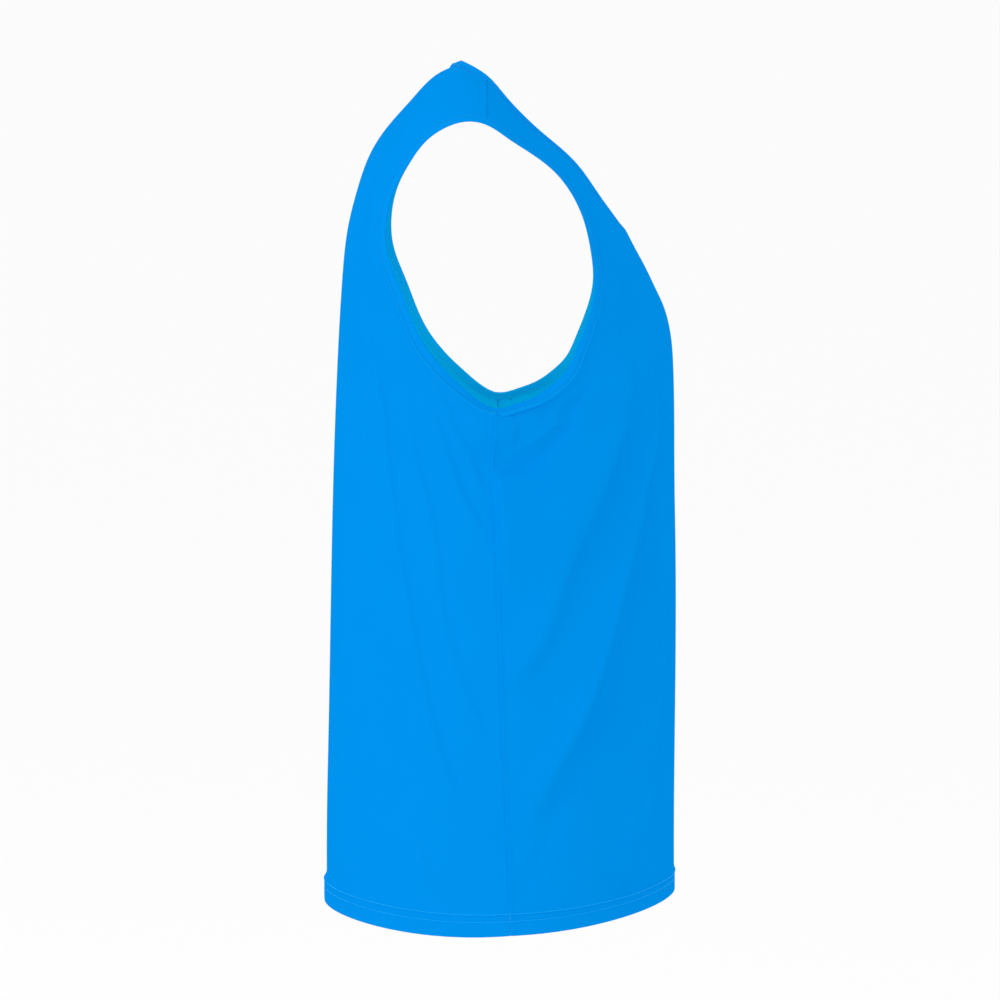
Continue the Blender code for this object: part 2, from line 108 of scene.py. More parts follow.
def set_inputs(node, values):
    """Give the node's inputs, found by name or number, these values."""
    for name, value in values.items():
        node.inputs[name].default_value = value


def new_material(name, finish):
    """A material whose Principled shader has this finish."""
    material = bpy.data.materials.new(name)
    material.use_nodes = True
    set_inputs(material.node_tree.nodes["Principled BSDF"], finish)
    return material


world = bpy.data.worlds.new("pale room")
world.use_nodes = True
set_inputs(world.node_tree.nodes["Background"], {"Color": (1.0, 1.0, 1.0, 1.0), "Strength": ROOM_STRENGTH})
bpy.context.scene.world = world

key = put_in_scene("key", bpy.data.lights.new("key", "AREA"))
key.data.energy = KEY_WATTS
key.data.size = KEY_SIZE
key.location = KEY_PLACE
key.rotation_euler = (KEY_AIM - KEY_PLACE).to_track_quat("-Z", "Y").to_euler()

for word, lamp in INSIDE_LAMPS.items():
    inside = put_in_scene("inside_" + word, bpy.data.lights.new("inside_" + word, "POINT"))
    inside.data.energy = lamp.watts
    inside.data.color = INSIDE_COLOUR
    inside.data.shadow_soft_size = INSIDE_SIZE
    inside.location = lamp.place
    inside.visible_camera = False

floor_mesh = bpy.data.meshes.new("floor")
half = FLOOR_SIZE / 2
corners = [(-half, -half, FLOOR_Z), (half, -half, FLOOR_Z), (half, half, FLOOR_Z), (-half, half, FLOOR_Z)]
floor_mesh.from_pydata(corners, [], [(0, 1, 2, 3)])
floor = put_in_scene("floor", floor_mesh)
floor_mesh.materials.append(new_material("pale_floor", FLOOR_FINISH))
print("floor at", FLOOR_Z, "m")

# %% [markdown]
# ## Measured lines
# A pattern cutter describes a garment by its seams. So do these tables: the centre lines, the side seam, the
# neck and the armhole, each as a few places that a smooth line is drawn through. Every line is measured on the
# wearer's left and mirrored.

# %% Centre lines, side seam and neck
Profile = namedtuple("Profile", "y z")
Place = namedtuple("Place", "x y z")
Armhole = namedtuple("Armhole", "x y z lean turn tip")
Fullness = namedtuple("Fullness", "row inner outer")

CENTRE_FRONT = [Profile(*row) for row in (
    (-0.1696, -0.7112), (-0.1695, -0.6500), (-0.1707, -0.5130), (-0.1706, -0.4000), (-0.1694, -0.2800),
    (-0.1697, -0.2350), (-0.1683, -0.2155), (-0.1650, -0.1993), (-0.1604, -0.1853), (-0.1537, -0.1714),
    (-0.1411, -0.1459), (-0.1348, -0.1345), (-0.1270, -0.1193),
)]
CENTRE_BACK = [Profile(*row) for row in (
    (0.1435, -0.7212), (0.1435, -0.6490), (0.1421, -0.5770), (0.1383, -0.3780), (0.1340, -0.2430),
    (0.1303, -0.1700), (0.1249, -0.1167), (0.1159, -0.0807), (0.1024, -0.0448), (0.0835, -0.0179),
    (0.0673, 0.0001), (0.0507, 0.0180), (0.0422, 0.0244), (0.0319, 0.0293),
)]
SIDE_SEAM = [Place(*row) for row in (
    (0.212, -0.0244, -0.7309), (0.205, -0.0200, -0.6289), (0.192, -0.0142, -0.4973), (0.181, -0.0109, -0.3991),
    (0.1740, -0.0077, -0.3474), (0.1652, -0.0060, -0.3190), (0.1674, -0.0084, -0.2930),
)]
NECK_SEAM = [Place(*row) for row in (
    (0.000, -0.1270, -0.1193), (0.014, -0.1024, -0.0895), (0.030, -0.0783, -0.0558), (0.047, -0.0501, -0.0306),
    (0.065, -0.0246, -0.0062), (0.083, -0.0017, 0.0190), (0.071, 0.0145, 0.0275), (0.050, 0.0235, 0.0318),
    (0.027, 0.0295, 0.0325), (0.000, 0.0319, 0.0293),
)]
NECK_EDGE = [Place(*row) for row in (
    (0.000, -0.1047, -0.0903), (0.0160, -0.0797, -0.0547), (0.0340, -0.0491, -0.0278), (0.0465, -0.0319, -0.0116),
    (0.060, -0.0168, 0.0049), (0.068, -0.0025, 0.0206), (0.062, 0.0075, 0.0276), (0.046, 0.0165, 0.0327),
    (0.024, 0.0215, 0.0352), (0.000, 0.0228, 0.0352),
)]
NECK_SHOULDER_STATION = {"seam": 5, "edge": 5}
# How far the neck rises for each metre from the centre: its left side hangs lower, its right edge stands up
NECK_SLOPE = {("seam", -1): 0.0, ("edge", -1): 0.045, ("seam", 1): -0.050, ("edge", 1): -0.050}
print("neck seam has", len(NECK_SEAM), "stations a side")

# %% The armhole's finished edge, from the underarm up the front, over the shoulder and down the back
# In degrees from sideways, lean tips the panel's facing up and turn swings it to the front. The band leans in
# further than the panel under the arm and at the front of the shoulder, so tip is its own lean.
ARMHOLE_EDGE = [Armhole(*row) for row in (
    (0.1595, -0.0105, -0.2674, -4, 0, 52), (0.1587, -0.0296, -0.2635, -4, 10, 52),
    (0.1572, -0.0453, -0.2574, -4, 18, 49), (0.1548, -0.0611, -0.2465, -3, 27, 42),
    (0.1512, -0.0734, -0.2341, -2, 34, 34), (0.1480, -0.0825, -0.2160, 0, 40, 24),
    (0.1443, -0.0926, -0.1905, 2, 45, 14), (0.1420, -0.0984, -0.1647, 6, 48, 14),
    (0.1400, -0.0966, -0.1377, 12, 50, 34), (0.1420, -0.0898, -0.1037, 22, 50, 52),
    (0.1460, -0.0796, -0.0800, 32, 48, 61), (0.1520, -0.0644, -0.0595, 40, 42, 65),
    (0.1580, -0.0443, -0.0432, 46, 32, 65), (0.1640, -0.0224, -0.0288, 50, 18, 62),
    (0.1680, -0.0021, -0.0163, 52, 4, 59), (0.1680, 0.0140, -0.0137, 52, -8, 57),
    (0.1660, 0.0321, -0.0185, 50, -18, 53), (0.1620, 0.0502, -0.0305, 45, -28, 46),
    (0.1560, 0.0672, -0.0527, 36, -38, 36), (0.1510, 0.0801, -0.0755, 27, -45, 27),
    (0.1490, 0.0868, -0.1038, 16, -48, 16), (0.1500, 0.0853, -0.1329, 8, -46, 10),
    (0.1520, 0.0739, -0.1638, 3, -42, 12), (0.1535, 0.0560, -0.2060, 0, -33, 20),
    (0.1555, 0.0438, -0.2235, -1, -26, 28), (0.1572, 0.0318, -0.2367, -2, -20, 36),
    (0.1584, 0.0182, -0.2492, -3, -12, 43), (0.1593, 0.0039, -0.2610, -4, -5, 51),
)]
SHOULDER_STATION = 14
LEFT_ARMHOLE = {"back": 0.002, "down": 0.0035, "from": -0.02, "over": 0.08}
ARM_BAND_WIDTH = 0.0100
print("armhole has", len(ARMHOLE_EDGE), "stations")

# %% [markdown]
# ## Smooth lines through the measured places
# A natural cubic spline bends like a thin strip of wood held at the places: its slope and its bend run on from
# span to span, so no corner shows where a place was measured.

# %% Smooth lines
PATH_SAMPLES = 3000
LOOP_ROWS = 4  # rows of a closed table repeated at each end, so that the curve meets itself smoothly
Path = namedtuple("Path", "distance values marks", defaults=(None,))


def unit(vectors):
    """Each vector over its length."""
    return vectors / np.linalg.norm(vectors, axis=-1, keepdims=True)


def smoothstep(value):
    """0 below 0, 1 above 1, and 3v^2 - 2v^3 between."""
    value = np.clip(value, 0.0, 1.0)
    return value * value * (3.0 - 2.0 * value)


def bell(value):
    """exp(-v^2): 1 at 0, near 0 beyond 2."""
    return np.exp(-(value**2))


def lengths(points):
    """How far along the line through the points each one lies."""
    return np.concatenate([[0.0], np.cumsum(np.linalg.norm(np.diff(points, axis=0), axis=1))])


def cubic_spline(knots, values, where):
    """The natural cubic through values at knots: slopes and curvatures run on from span to span."""
    count = len(knots)
    span = np.diff(knots)
    rise = np.diff(values, axis=0) / span[:, None]
    system = np.eye(count)
    right = np.zeros_like(values)
    inside = np.arange(1, count - 1)
    system[inside, inside - 1] = span[:-1]
    system[inside, inside] = 2.0 * (span[:-1] + span[1:])
    system[inside, inside + 1] = span[1:]
    right[1:-1] = 6.0 * (rise[1:] - rise[:-1])
    bend = np.linalg.solve(system, right)
    i = np.clip(np.searchsorted(knots, where) - 1, 0, count - 2)
    width = span[i][:, None]
    before = (knots[i + 1] - where)[:, None] / width
    after = 1.0 - before
    return (
        before * values[i]
        + after * values[i + 1]
        + ((before**3 - before) * bend[i] + (after**3 - after) * bend[i + 1]) * width**2 / 6.0
    )


def path_through(stations, loop=False):
    """A smooth path through table rows: distances along it, every column there, and each row's distance."""
    table = np.array(stations, float)
    count = len(table)
    if loop:
        table = np.concatenate([table[-LOOP_ROWS:], table, table[: LOOP_ROWS + 1]])
    knots = lengths(table[:, :3])
    own = knots[LOOP_ROWS : LOOP_ROWS + count] if loop else knots
    where = np.linspace(own[0], knots[LOOP_ROWS + count] if loop else knots[-1], PATH_SAMPLES)
    values = cubic_spline(knots, table, where)
    distance = lengths(values[:, :3])
    return Path(distance, values, np.interp(own, where, distance))


def along(path, distance):
    """Every column of the path at these distances."""
    return np.stack([np.interp(distance, path.distance, column) for column in path.values.T], axis=-1)


# %% The two openings
EDGE, PANEL_FACING, PANEL_ACROSS, BAND_FACING, BAND_ACROSS = (slice(k, k + 3) for k in range(0, 15, 3))


def armhole_path(side):
    """The armhole's edge with, at each point, the panel's way across to it and the band's facing and way across.

    A facing comes from lean or tip and turn, made square to the edge; the way across is edge direction x facing.
    The left armhole hangs a little lower and further back than the right one.
    """
    path = path_through(ARMHOLE_EDGE, loop=True)
    edge, lean, turn, tip = path.values[:, :3].copy(), *np.radians(path.values[:, 3:].T)
    if side > 0:
        hang = smoothstep((LEFT_ARMHOLE["from"] - edge[:, 2:]) / LEFT_ARMHOLE["over"])
        edge += hang * [0.0, LEFT_ARMHOLE["back"], -LEFT_ARMHOLE["down"]]
    forward = unit(np.gradient(edge, axis=0))
    forward[0] = forward[-1] = unit(edge[1] - edge[-2])
    ways = []
    for up in (lean, tip):
        facing = np.stack([np.cos(up) * np.cos(turn), -np.cos(up) * np.sin(turn), np.sin(up)], axis=-1)
        facing = unit(facing - np.sum(facing * forward, axis=-1, keepdims=True) * forward)
        ways += [facing, np.cross(forward, facing)]
    return path._replace(values=np.concatenate([edge, *ways], axis=1))


ARMHOLES = {side: armhole_path(side) for side in (1, -1)}
NECK_PATHS = {
    kind: path_through([*table, *(Place(-p.x, p.y, p.z) for p in table[-2::-1])])
    for kind, table in (("seam", NECK_SEAM), ("edge", NECK_EDGE))
}


def neck_points(kind, share, front, side):
    """The neck band's seam or edge, at shares of the way from the centre, front or back, to the shoulder."""
    path = NECK_PATHS[kind]
    shoulder = path.marks[NECK_SHOULDER_STATION[kind]]
    middle = path.distance[-1] / 2
    found = along(path, share * shoulder if front else middle - share * (middle - shoulder))
    return found + found[:, :1] * [0.0, 0.0, NECK_SLOPE[kind, side]]


def armhole_points(share, front, side):
    """Edge, panel facing, panel way across and band way across, from the underarm up to the shoulder."""
    path = ARMHOLES[side]
    shoulder, whole = path.marks[SHOULDER_STATION], path.distance[-1]
    found = along(path, share * shoulder if front else whole - share * (whole - shoulder))
    return found[:, EDGE], *(unit(found[:, part]) for part in (PANEL_FACING, PANEL_ACROSS, BAND_ACROSS))


print("armhole edge %.3f m, neck edge %.3f m" % (ARMHOLES[1].distance[-1], NECK_PATHS["edge"].distance[-1]))

# %% [markdown]
# ## The panels without folds
# On a body form a knit panel lies in rows: each row runs from the centre, or the neckline above it, round to
# the side seam, or the armhole above it. A cubic curve for each row, leaving the centre square to it and
# meeting the side seam running straight back, makes the smooth full shape that the folds are then laid on.
# Columns stand closer together near the seams, where stitching pulls the cloth into small forms.

# %% Rows and columns
ROWS = 40
SIDE_SEAM_ROWS = 22
CENTRE_ROWS = {True: 31, False: 35}  # a table with these keys has one value for the front and one for the back
ROW_HEIGHT = 0.02083
COLUMNS = 110
FOLDED_REACH = {True: 0.70, False: 0.56}
CROWD = {"side": 3.5, "centre": 1.6, "reach": 0.012}
SPARSE = {"share": 0.38, "over": 0.12}
ROW_SAMPLES = 121
SHOULDER_FALL = 12
STRAIGHT_ROWS = 5
FALL_REACH = {True: 0.5, False: 1.0}
HEM_SLOPE = {True: -0.045, False: 0.085}
HEM_SLOPE_ROWS = 3
EASE_ROWS = {"side": 2.6, "centre": 1.2}
EASE_REACH = 0.060
EASE_FADE = 1.5
FRONT_FULLNESS = [Fullness(*row) for row in (
    (0, 0.56, 0.56), (16, 0.56, 0.56), (24, 0.60, 0.50), (31, 0.50, 0.42), (38, 0.36, 0.36), (40, 0.36, 0.36),
)]
BACK_FULLNESS = [Fullness(*row) for row in (
    (0, 0.56, 0.56), (16, 0.56, 0.56), (24, 0.62, 0.50), (32, 0.52, 0.42), (38, 0.36, 0.36), (40, 0.36, 0.36),
)]
HEM_DEPTH = 0.0200
STITCH_ROWS = (0.0192, 0.0128)

# Rows stand closer together where the cloth bends most: at the hem's stitches, under the arm and at the shoulder
ROW_STEP = {"open": 0.26, "underarm": 0.14}
ROW_MARGIN = 0.15
UNDERARM_ROWS = (16.6, 22.9)
SHOULDER_REACH = 1.45
SHOULDER_CROWD = 1.7

hem_heights = np.concatenate([
    [0.0, 0.0012, 0.0035, 0.0065, 0.0095], np.arange(0.0108, 0.0145, 0.0006), [0.0152, 0.0162],
    np.arange(0.0168, 0.0220, 0.0005), [0.0226, 0.0240, 0.0262, 0.0290],
])
lower_rows = np.arange(hem_heights[-1] / ROW_HEIGHT + ROW_MARGIN, UNDERARM_ROWS[0], ROW_STEP["open"])
underarm_rows = np.arange(*UNDERARM_ROWS, ROW_STEP["underarm"])
upper_rows = np.arange(UNDERARM_ROWS[1], ROWS - SHOULDER_REACH - ROW_MARGIN, ROW_STEP["open"])
shoulder_rows = ROWS - SHOULDER_REACH * (1.0 - np.linspace(0.0, 1.0, 15)) ** SHOULDER_CROWD
PANEL_ROWS = np.unique(np.round([*(hem_heights / ROW_HEIGHT), *lower_rows, *underarm_rows, *upper_rows,
                                 SIDE_SEAM_ROWS, *CENTRE_ROWS.values(), *shoulder_rows], 6))


def column_shares(folded):
    """Shares from the centre to the side, crowded as 1 + a exp(-d / b) at both seams and sparse beyond the folds."""
    fine = np.linspace(0.0, 1.0, 4001)
    at_side, at_centre = (np.exp(-d / CROWD["reach"]) for d in (1.0 - fine, fine))
    crowd = 1.0 + CROWD["side"] * at_side + CROWD["centre"] * at_centre
    near_folds = smoothstep((fine - (1.0 - folded)) / SPARSE["over"] + 0.5)
    crowd = crowd * (SPARSE["share"] + (1.0 - SPARSE["share"]) * near_folds)
    reached = np.concatenate([[0.0], np.cumsum((crowd[1:] + crowd[:-1]) / 2.0)])
    return np.interp(np.linspace(0.0, reached[-1], COLUMNS + 1), reached, fine)


PANEL_SHARES = {front: column_shares(reach) for front, reach in FOLDED_REACH.items()}
print(len(PANEL_ROWS), "rows of", COLUMNS + 1, "points a half")


# %% A half panel
Panel = namedtuple("Panel", "points facing aside height from_centre from_side")


def column(table, rows, name):
    """A column of a fullness table at each row, by a cubic, so that no row starts a crease."""
    knots = np.array([float(entry.row) for entry in table])
    return cubic_spline(knots, np.array([[getattr(entry, name)] for entry in table]), rows)[:, 0]


def surface_facing(points, rows, front):
    """The unit normal of a grid: across the columns x up the rows, turned outwards."""
    facing = np.cross(np.gradient(points, axis=1), np.gradient(points, rows, axis=0))
    return unit(facing if front else -facing)


def eased(points, rows, corner_row, near, where):
    """The grid with its rows near corner_row drawn toward a running mean of the rows above and below.

    A panel's edge turns a corner there, at the underarm or at the end of the centre line. Without this the turn
    would cross the whole panel as a crease. It fades where near, the distance from that edge, goes to nothing.
    """
    width = EASE_ROWS[where]
    mean = np.exp(-(((rows[:, None] - rows[None, :]) / width) ** 2)) * np.gradient(rows)
    mean = mean / mean.sum(axis=1, keepdims=True)
    share = bell((rows - corner_row) / (EASE_FADE * width))[:, None] * smoothstep(near / EASE_REACH)
    return points + (np.tensordot(mean, points, axes=1) - points) * share[..., None]


def panel(front, side, rows, shares):
    """One half of a panel without folds, as a grid of rows by columns from the centre to the side.

    Each row is a cubic curve from start to end with handles along enter and leave, spaced again by its length.
    """
    centre = path_through([(0.0, p.y, p.z) for p in (CENTRE_FRONT if front else CENTRE_BACK)])
    centre_rows = CENTRE_ROWS[front]
    back = np.array([0.0, 1.0 if front else -1.0, 0.0])
    on_side = (rows <= SIDE_SEAM_ROWS)[:, None]
    up_share = np.clip((rows - SIDE_SEAM_ROWS) / (ROWS - SIDE_SEAM_ROWS), 0.0, 1.0)
    neck_share = np.clip((rows - centre_rows) / (ROWS - centre_rows), 0.0, 1.0)
    edge, facing, across, band_across = armhole_points(up_share, front, side)
    arm_seam = edge - band_across * ARM_BAND_WIDTH
    underarm = along(ARMHOLES[side], np.array([0.0]))[0]
    seam = path_through([*SIDE_SEAM, tuple(underarm[EDGE] - underarm[BAND_ACROSS] * ARM_BAND_WIDTH)])
    below = along(centre, np.clip(rows / centre_rows, 0.0, 1.0) * centre.distance[-1])
    start = np.where((rows < centre_rows)[:, None], below, neck_points("seam", neck_share, front, side))
    beside = along(seam, np.clip(rows / SIDE_SEAM_ROWS, 0.0, 1.0) * seam.distance[-1])
    end = np.where(on_side, beside, arm_seam)

    up_share = smoothstep(up_share)[:, None]
    neck_share = smoothstep(neck_share / FALL_REACH[front])[:, None]
    flat_way = unit(np.cross([0.0, 0.0, 1.0], facing)) * back[1]
    slope = HEM_SLOPE[front] * np.clip(1.0 - rows / HEM_SLOPE_ROWS, 0.0, 1.0)
    down_hem = unit(back + slope[:, None] * [0.0, 0.0, 1.0])
    leave = np.where(on_side, down_hem, unit(flat_way * (1.0 - up_share) + across * up_share))
    fall = math.radians(SHOULDER_FALL)
    enter = unit((1.0 - neck_share) * [1.0, 0.0, 0.0] + neck_share * [math.cos(fall), 0.0, -math.sin(fall)])

    chord = end - start
    fullness = FRONT_FULLNESS if front else BACK_FULLNESS
    inner = column(fullness, rows, "inner") * np.abs(np.sum(chord * enter, axis=1))
    outer = column(fullness, rows, "outer") * np.abs(np.sum(chord * leave, axis=1))
    one, two = start + enter * inner[:, None], end - leave * outer[:, None]
    straight = smoothstep((rows - ROWS + STRAIGHT_ROWS) / STRAIGHT_ROWS)
    for handle, share in ((one, 1.0 / 3.0), (two, 2.0 / 3.0)):
        handle[:, 1] += straight * (start[:, 1] + share * chord[:, 1] - handle[:, 1])
    t = np.linspace(0.0, 1.0, ROW_SAMPLES)[None, :, None]
    curve = (
        (1 - t) ** 3 * start[:, None]
        + 3 * (1 - t) ** 2 * t * one[:, None]
        + 3 * (1 - t) * t**2 * two[:, None]
        + t**3 * end[:, None]
    )
    run = np.linalg.norm(np.diff(curve, axis=1), axis=2)
    run = np.concatenate([np.zeros((len(rows), 1)), np.cumsum(run, axis=1)], axis=1)
    points = np.array([along(Path(length, line), shares * length[-1]) for length, line in zip(run, curve)])
    points[rows <= centre_rows, 0, 0] = 0.0
    from_centre = shares[None, :] * run[:, -1:]
    from_side = run[:, -1:] - from_centre
    points = eased(points, rows, SIDE_SEAM_ROWS, from_side, "side")
    points = eased(points, rows, centre_rows, np.minimum(from_centre, from_side), "centre")
    girth = np.interp(np.minimum(rows, SIDE_SEAM_ROWS), rows, run[:, -1])
    aside = girth[:, None] - points[:, :1, 0] - from_centre
    facing = surface_facing(points, rows, front)
    return Panel(points, facing, aside, points[..., 2], from_centre, from_side)


GRIDS = {
    (front, side): panel(front, side, PANEL_ROWS, PANEL_SHARES[front]) for front in (True, False) for side in (1, -1)
}
print("half round at the hem: front %.3f, back %.3f m" % tuple(GRIDS[f, 1].from_centre[0, -1] for f in (True, False)))

# %% [markdown]
# ## Folds
# Loose cloth on a body hangs from its high points, here the chest and the shoulder blade. Between them, under
# the arm, it falls in swags: long curved folds that run down from both and meet at the side seam. Each is
# gentle above, where the cloth slides down onto it, and steep beneath. One formula makes them all: a rise along
# a line on the cloth that falls away like a bell, over one width toward the seam and another away from it. The
# lines are measured on the cloth itself: distance round from the side seam, then height.

# %% The folds of the front
Fold = namedtuple("Fold", "rise above below foot top crest dip point", defaults=(0.0, 2.0))
FRONT_FOLDS = [
    # the crease under the arm: the cloth sinks slowly to it and comes out quickly beneath
    Fold(-0.0066, 0.027, 0.0050, 0.26, 0.70,
         [(-0.012, -0.3150), (0.0050, -0.3180), (0.0176, -0.3210), (0.0277, -0.3196), (0.0379, -0.3146),
          (0.0475, -0.3040), (0.0545, -0.2910), (0.0615, -0.2780), (0.0695, -0.2642), (0.0863, -0.2333),
          (0.1062, -0.2007)], 0.0, 1.0),
    Fold(-0.0009, 0.010, 0.0045, 0.35, 0.35,
         [(-0.010, -0.3020), (0.018, -0.3010), (0.033, -0.2880), (0.046, -0.2690), (0.058, -0.2440)], 0.0, 1.5),
    # the roll beneath it, with its soft underside, and the bulge where it starts at the seam
    Fold(0.0074, 0.028, 0.030, 0.02, 0.45,
         [(-0.004, -0.3720), (0.0226, -0.3735), (0.0452, -0.3719), (0.0700, -0.3540), (0.0910, -0.3250),
          (0.1020, -0.2880)]),
    Fold(0.0030, 0.0062, 0.022, 0.45, 0.12, [(0.0080, -0.4180), (0.0078, -0.3720), (0.0076, -0.3200)]),
    # the first swag, ending in a hook
    Fold(0.0056, 0.018, 0.0105, 0.06, 0.20,
         [(0.000, -0.5010), (0.0138, -0.4985), (0.031, -0.4830), (0.045, -0.4580), (0.0590, -0.4190),
          (0.0835, -0.3700), (0.1060, -0.3270), (0.1180, -0.2790), (0.1260, -0.2350), (0.1300, -0.2000)],
         0.15, 1.7),
    # the long swag from the chest
    Fold(0.0130, 0.018, 0.0095, 0.30, 0.20,
         [(0.004, -0.6560), (0.0175, -0.6352), (0.0412, -0.5953), (0.070, -0.5471), (0.0941, -0.4956),
          (0.1126, -0.4448), (0.1350, -0.3848), (0.1500, -0.3400), (0.1600, -0.2930), (0.1640, -0.2400),
          (0.1650, -0.2050)], 0.20, 1.5),
    # the broad one in front of it
    Fold(0.0095, 0.026, 0.0120, 0.12, 0.35,
         [(0.1100, -0.7120), (0.1303, -0.6879), (0.1474, -0.6451), (0.1660, -0.5726), (0.1800, -0.5149),
          (0.1870, -0.4441), (0.1950, -0.3911), (0.2029, -0.3385)], 0.0, 1.5),
    # small ones near the hem and the seam
    Fold(-0.0020, 0.009, 0.009, 0.10, 0.35,
         [(0.004, -0.7060), (0.024, -0.6725), (0.0366, -0.6473), (0.0505, -0.6117), (0.0640, -0.5599)]),
    Fold(0.0012, 0.010, 0.0040, 0.20, 0.30, [(0.116, -0.6900), (0.133, -0.6350), (0.142, -0.5800)]),
    # crushed cloth between the armhole and the crease
    Fold(0.0008, 0.0030, 0.0022, 0.20, 0.40, [(0.002, -0.2850), (0.016, -0.2850), (0.022, -0.2790)]),
    Fold(0.0010, 0.0050, 0.0026, 0.20, 0.40,
         [(0.020, -0.3060), (0.036, -0.2960), (0.050, -0.2780), (0.062, -0.2520)]),
    # pulls from the armhole across the chest
    Fold(0.0012, 0.009, 0.0020, 0.20, 0.20,
         [(0.178, -0.1600), (0.160, -0.1350), (0.142, -0.1080), (0.124, -0.0860)]),
    Fold(0.0009, 0.008, 0.0020, 0.25, 0.45,
         [(0.150, -0.1780), (0.136, -0.1520), (0.126, -0.1280), (0.118, -0.1060)]),
    # one soft drop by the centre
    Fold(0.0022, 0.018, 0.018, 0.15, 0.35, [(0.232, -0.7120), (0.230, -0.5200), (0.224, -0.3400)]),
]
print(len(FRONT_FOLDS), "folds a side in front")

# %% The folds of the back
BACK_FOLDS = [
    # two long drags from the shoulder blade: a flat slope, then a sharp step with a dip beside it
    Fold(0.0020, 0.0030, 0.020, 0.08, 0.22,
         [(0.0364, -0.6286), (0.0595, -0.5600), (0.0744, -0.4955), (0.0860, -0.4350), (0.0957, -0.3770),
          (0.1025, -0.3150), (0.1070, -0.2600), (0.1180, -0.2100), (0.1330, -0.1600)], 0.40),
    Fold(0.0021, 0.0042, 0.016, 0.12, 0.30,
         [(0.0096, -0.5780), (0.0252, -0.5339), (0.0400, -0.4900), (0.0522, -0.4295), (0.0583, -0.3636),
          (0.0690, -0.3200), (0.0740, -0.2760), (0.0680, -0.2300)], 0.30),
    # shorter ones that run in under the arm
    Fold(0.0018, 0.0034, 0.010, 0.10, 0.30,
         [(0.0091, -0.3757), (0.0218, -0.3564), (0.0316, -0.3305), (0.0430, -0.2900), (0.0500, -0.2500)], 0.30),
    Fold(0.0015, 0.0030, 0.008, 0.10, 0.35,
         [(0.0060, -0.3420), (0.0175, -0.3156), (0.0300, -0.2876), (0.0370, -0.2609), (0.0400, -0.2316)], 0.30),
    Fold(0.0013, 0.0035, 0.009, 0.15, 0.40,
         [(0.1120, -0.2600), (0.0980, -0.2200), (0.0925, -0.1823), (0.0921, -0.1560), (0.0986, -0.1385)]),
    Fold(0.0013, 0.0030, 0.006, 0.10, 0.40,
         [(0.004, -0.3000), (0.0130, -0.2820), (0.0240, -0.2580), (0.0340, -0.2440)]),
    # one low down that leans to the hem's back corner, and a soft drop by the centre
    Fold(0.0018, 0.0034, 0.013, 0.08, 0.35,
         [(0.0500, -0.7130), (0.0654, -0.6953), (0.0797, -0.6657), (0.0919, -0.6309)], 0.30),
    Fold(0.0035, 0.022, 0.022, 0.15, 0.35, [(0.205, -0.7200), (0.200, -0.5000), (0.192, -0.3000)]),
]
LEFT_SIDE = {"round": 0.007, "up": -0.021, "rise": 0.85}
FOLD_SAMPLES = 121
CREST_ROUND = 0.01
DIP_WIDTH = 2.5
SEAM_HOLD = 0.009
HEM_HOLD = {"height": 0.05, "share": 0.4}
print(len(BACK_FOLDS), "folds a side behind")


# %% How a fold lifts the cloth
def fold_rise(grid, fold, round_by, up_by):
    """How far one fold lifts each point: rise * exp(-(q / width)^point), with q the distance from the crest.

    The width is above on the seam's side of the crest and below on the other, a low point makes the crest sharp,
    and the ends fade. On the narrow side a wider bell, dip times as high, is taken away again, so the cloth sinks
    a little before it recovers.
    """
    path = path_through(fold.crest)
    crest = along(path, np.linspace(0.0, path.distance[-1], FOLD_SAMPLES)) + [round_by, up_by]
    offset = np.stack([grid.aside, grid.height], axis=-1)[..., None, :] - crest
    nearest = np.argmin(np.sum(offset**2, axis=-1), axis=-1)
    offset = np.take_along_axis(offset, nearest[..., None, None], axis=-2)[..., 0, :]
    up_crest = unit(np.gradient(crest, axis=0))[nearest]
    square = up_crest[..., 0] * offset[..., 1] - up_crest[..., 1] * offset[..., 0]
    share = nearest / (FOLD_SAMPLES - 1)
    ends = smoothstep(share / fold.foot) * smoothstep((1.0 - share) / fold.top)
    over = np.sqrt((square / np.where(square > 0.0, fold.above, fold.below)) ** 2 + CREST_ROUND)
    narrow = (square > 0.0) == (fold.above < fold.below)
    shape = np.exp(-(over**fold.point))
    return fold.rise * ends * (shape + narrow * fold.dip * (shape - bell(over / DIP_WIDTH)))


def folded(grid, front, side):
    """How far all folds of one half lift each point of its panel."""
    left = side > 0
    round_by, up_by = (LEFT_SIDE["round"], LEFT_SIDE["up"]) if left else (0.0, 0.0)
    lifted = sum(fold_rise(grid, fold, round_by, up_by) for fold in (FRONT_FOLDS if front else BACK_FOLDS))
    held = smoothstep(grid.from_side / SEAM_HOLD) * smoothstep(grid.from_centre / SEAM_HOLD)
    above_hem = (grid.height - grid.height[:1]) / HEM_HOLD["height"]
    held = held * (HEM_HOLD["share"] + (1.0 - HEM_HOLD["share"]) * smoothstep(above_hem))
    return lifted * held * (LEFT_SIDE["rise"] if left else 1.0)


# %% [markdown]
# ## What sewing does to the cloth
# An overlocked seam leaves its allowance lying to one side under the cloth, here toward the back at shoulder
# and side, so a low roll runs along it with a ditch at the seam. The hem is double, so it stands out a little
# from the panel, and each row of stitches bites a groove. All of these are small bells across a distance that
# the grid already knows, so they are part of the same surface.

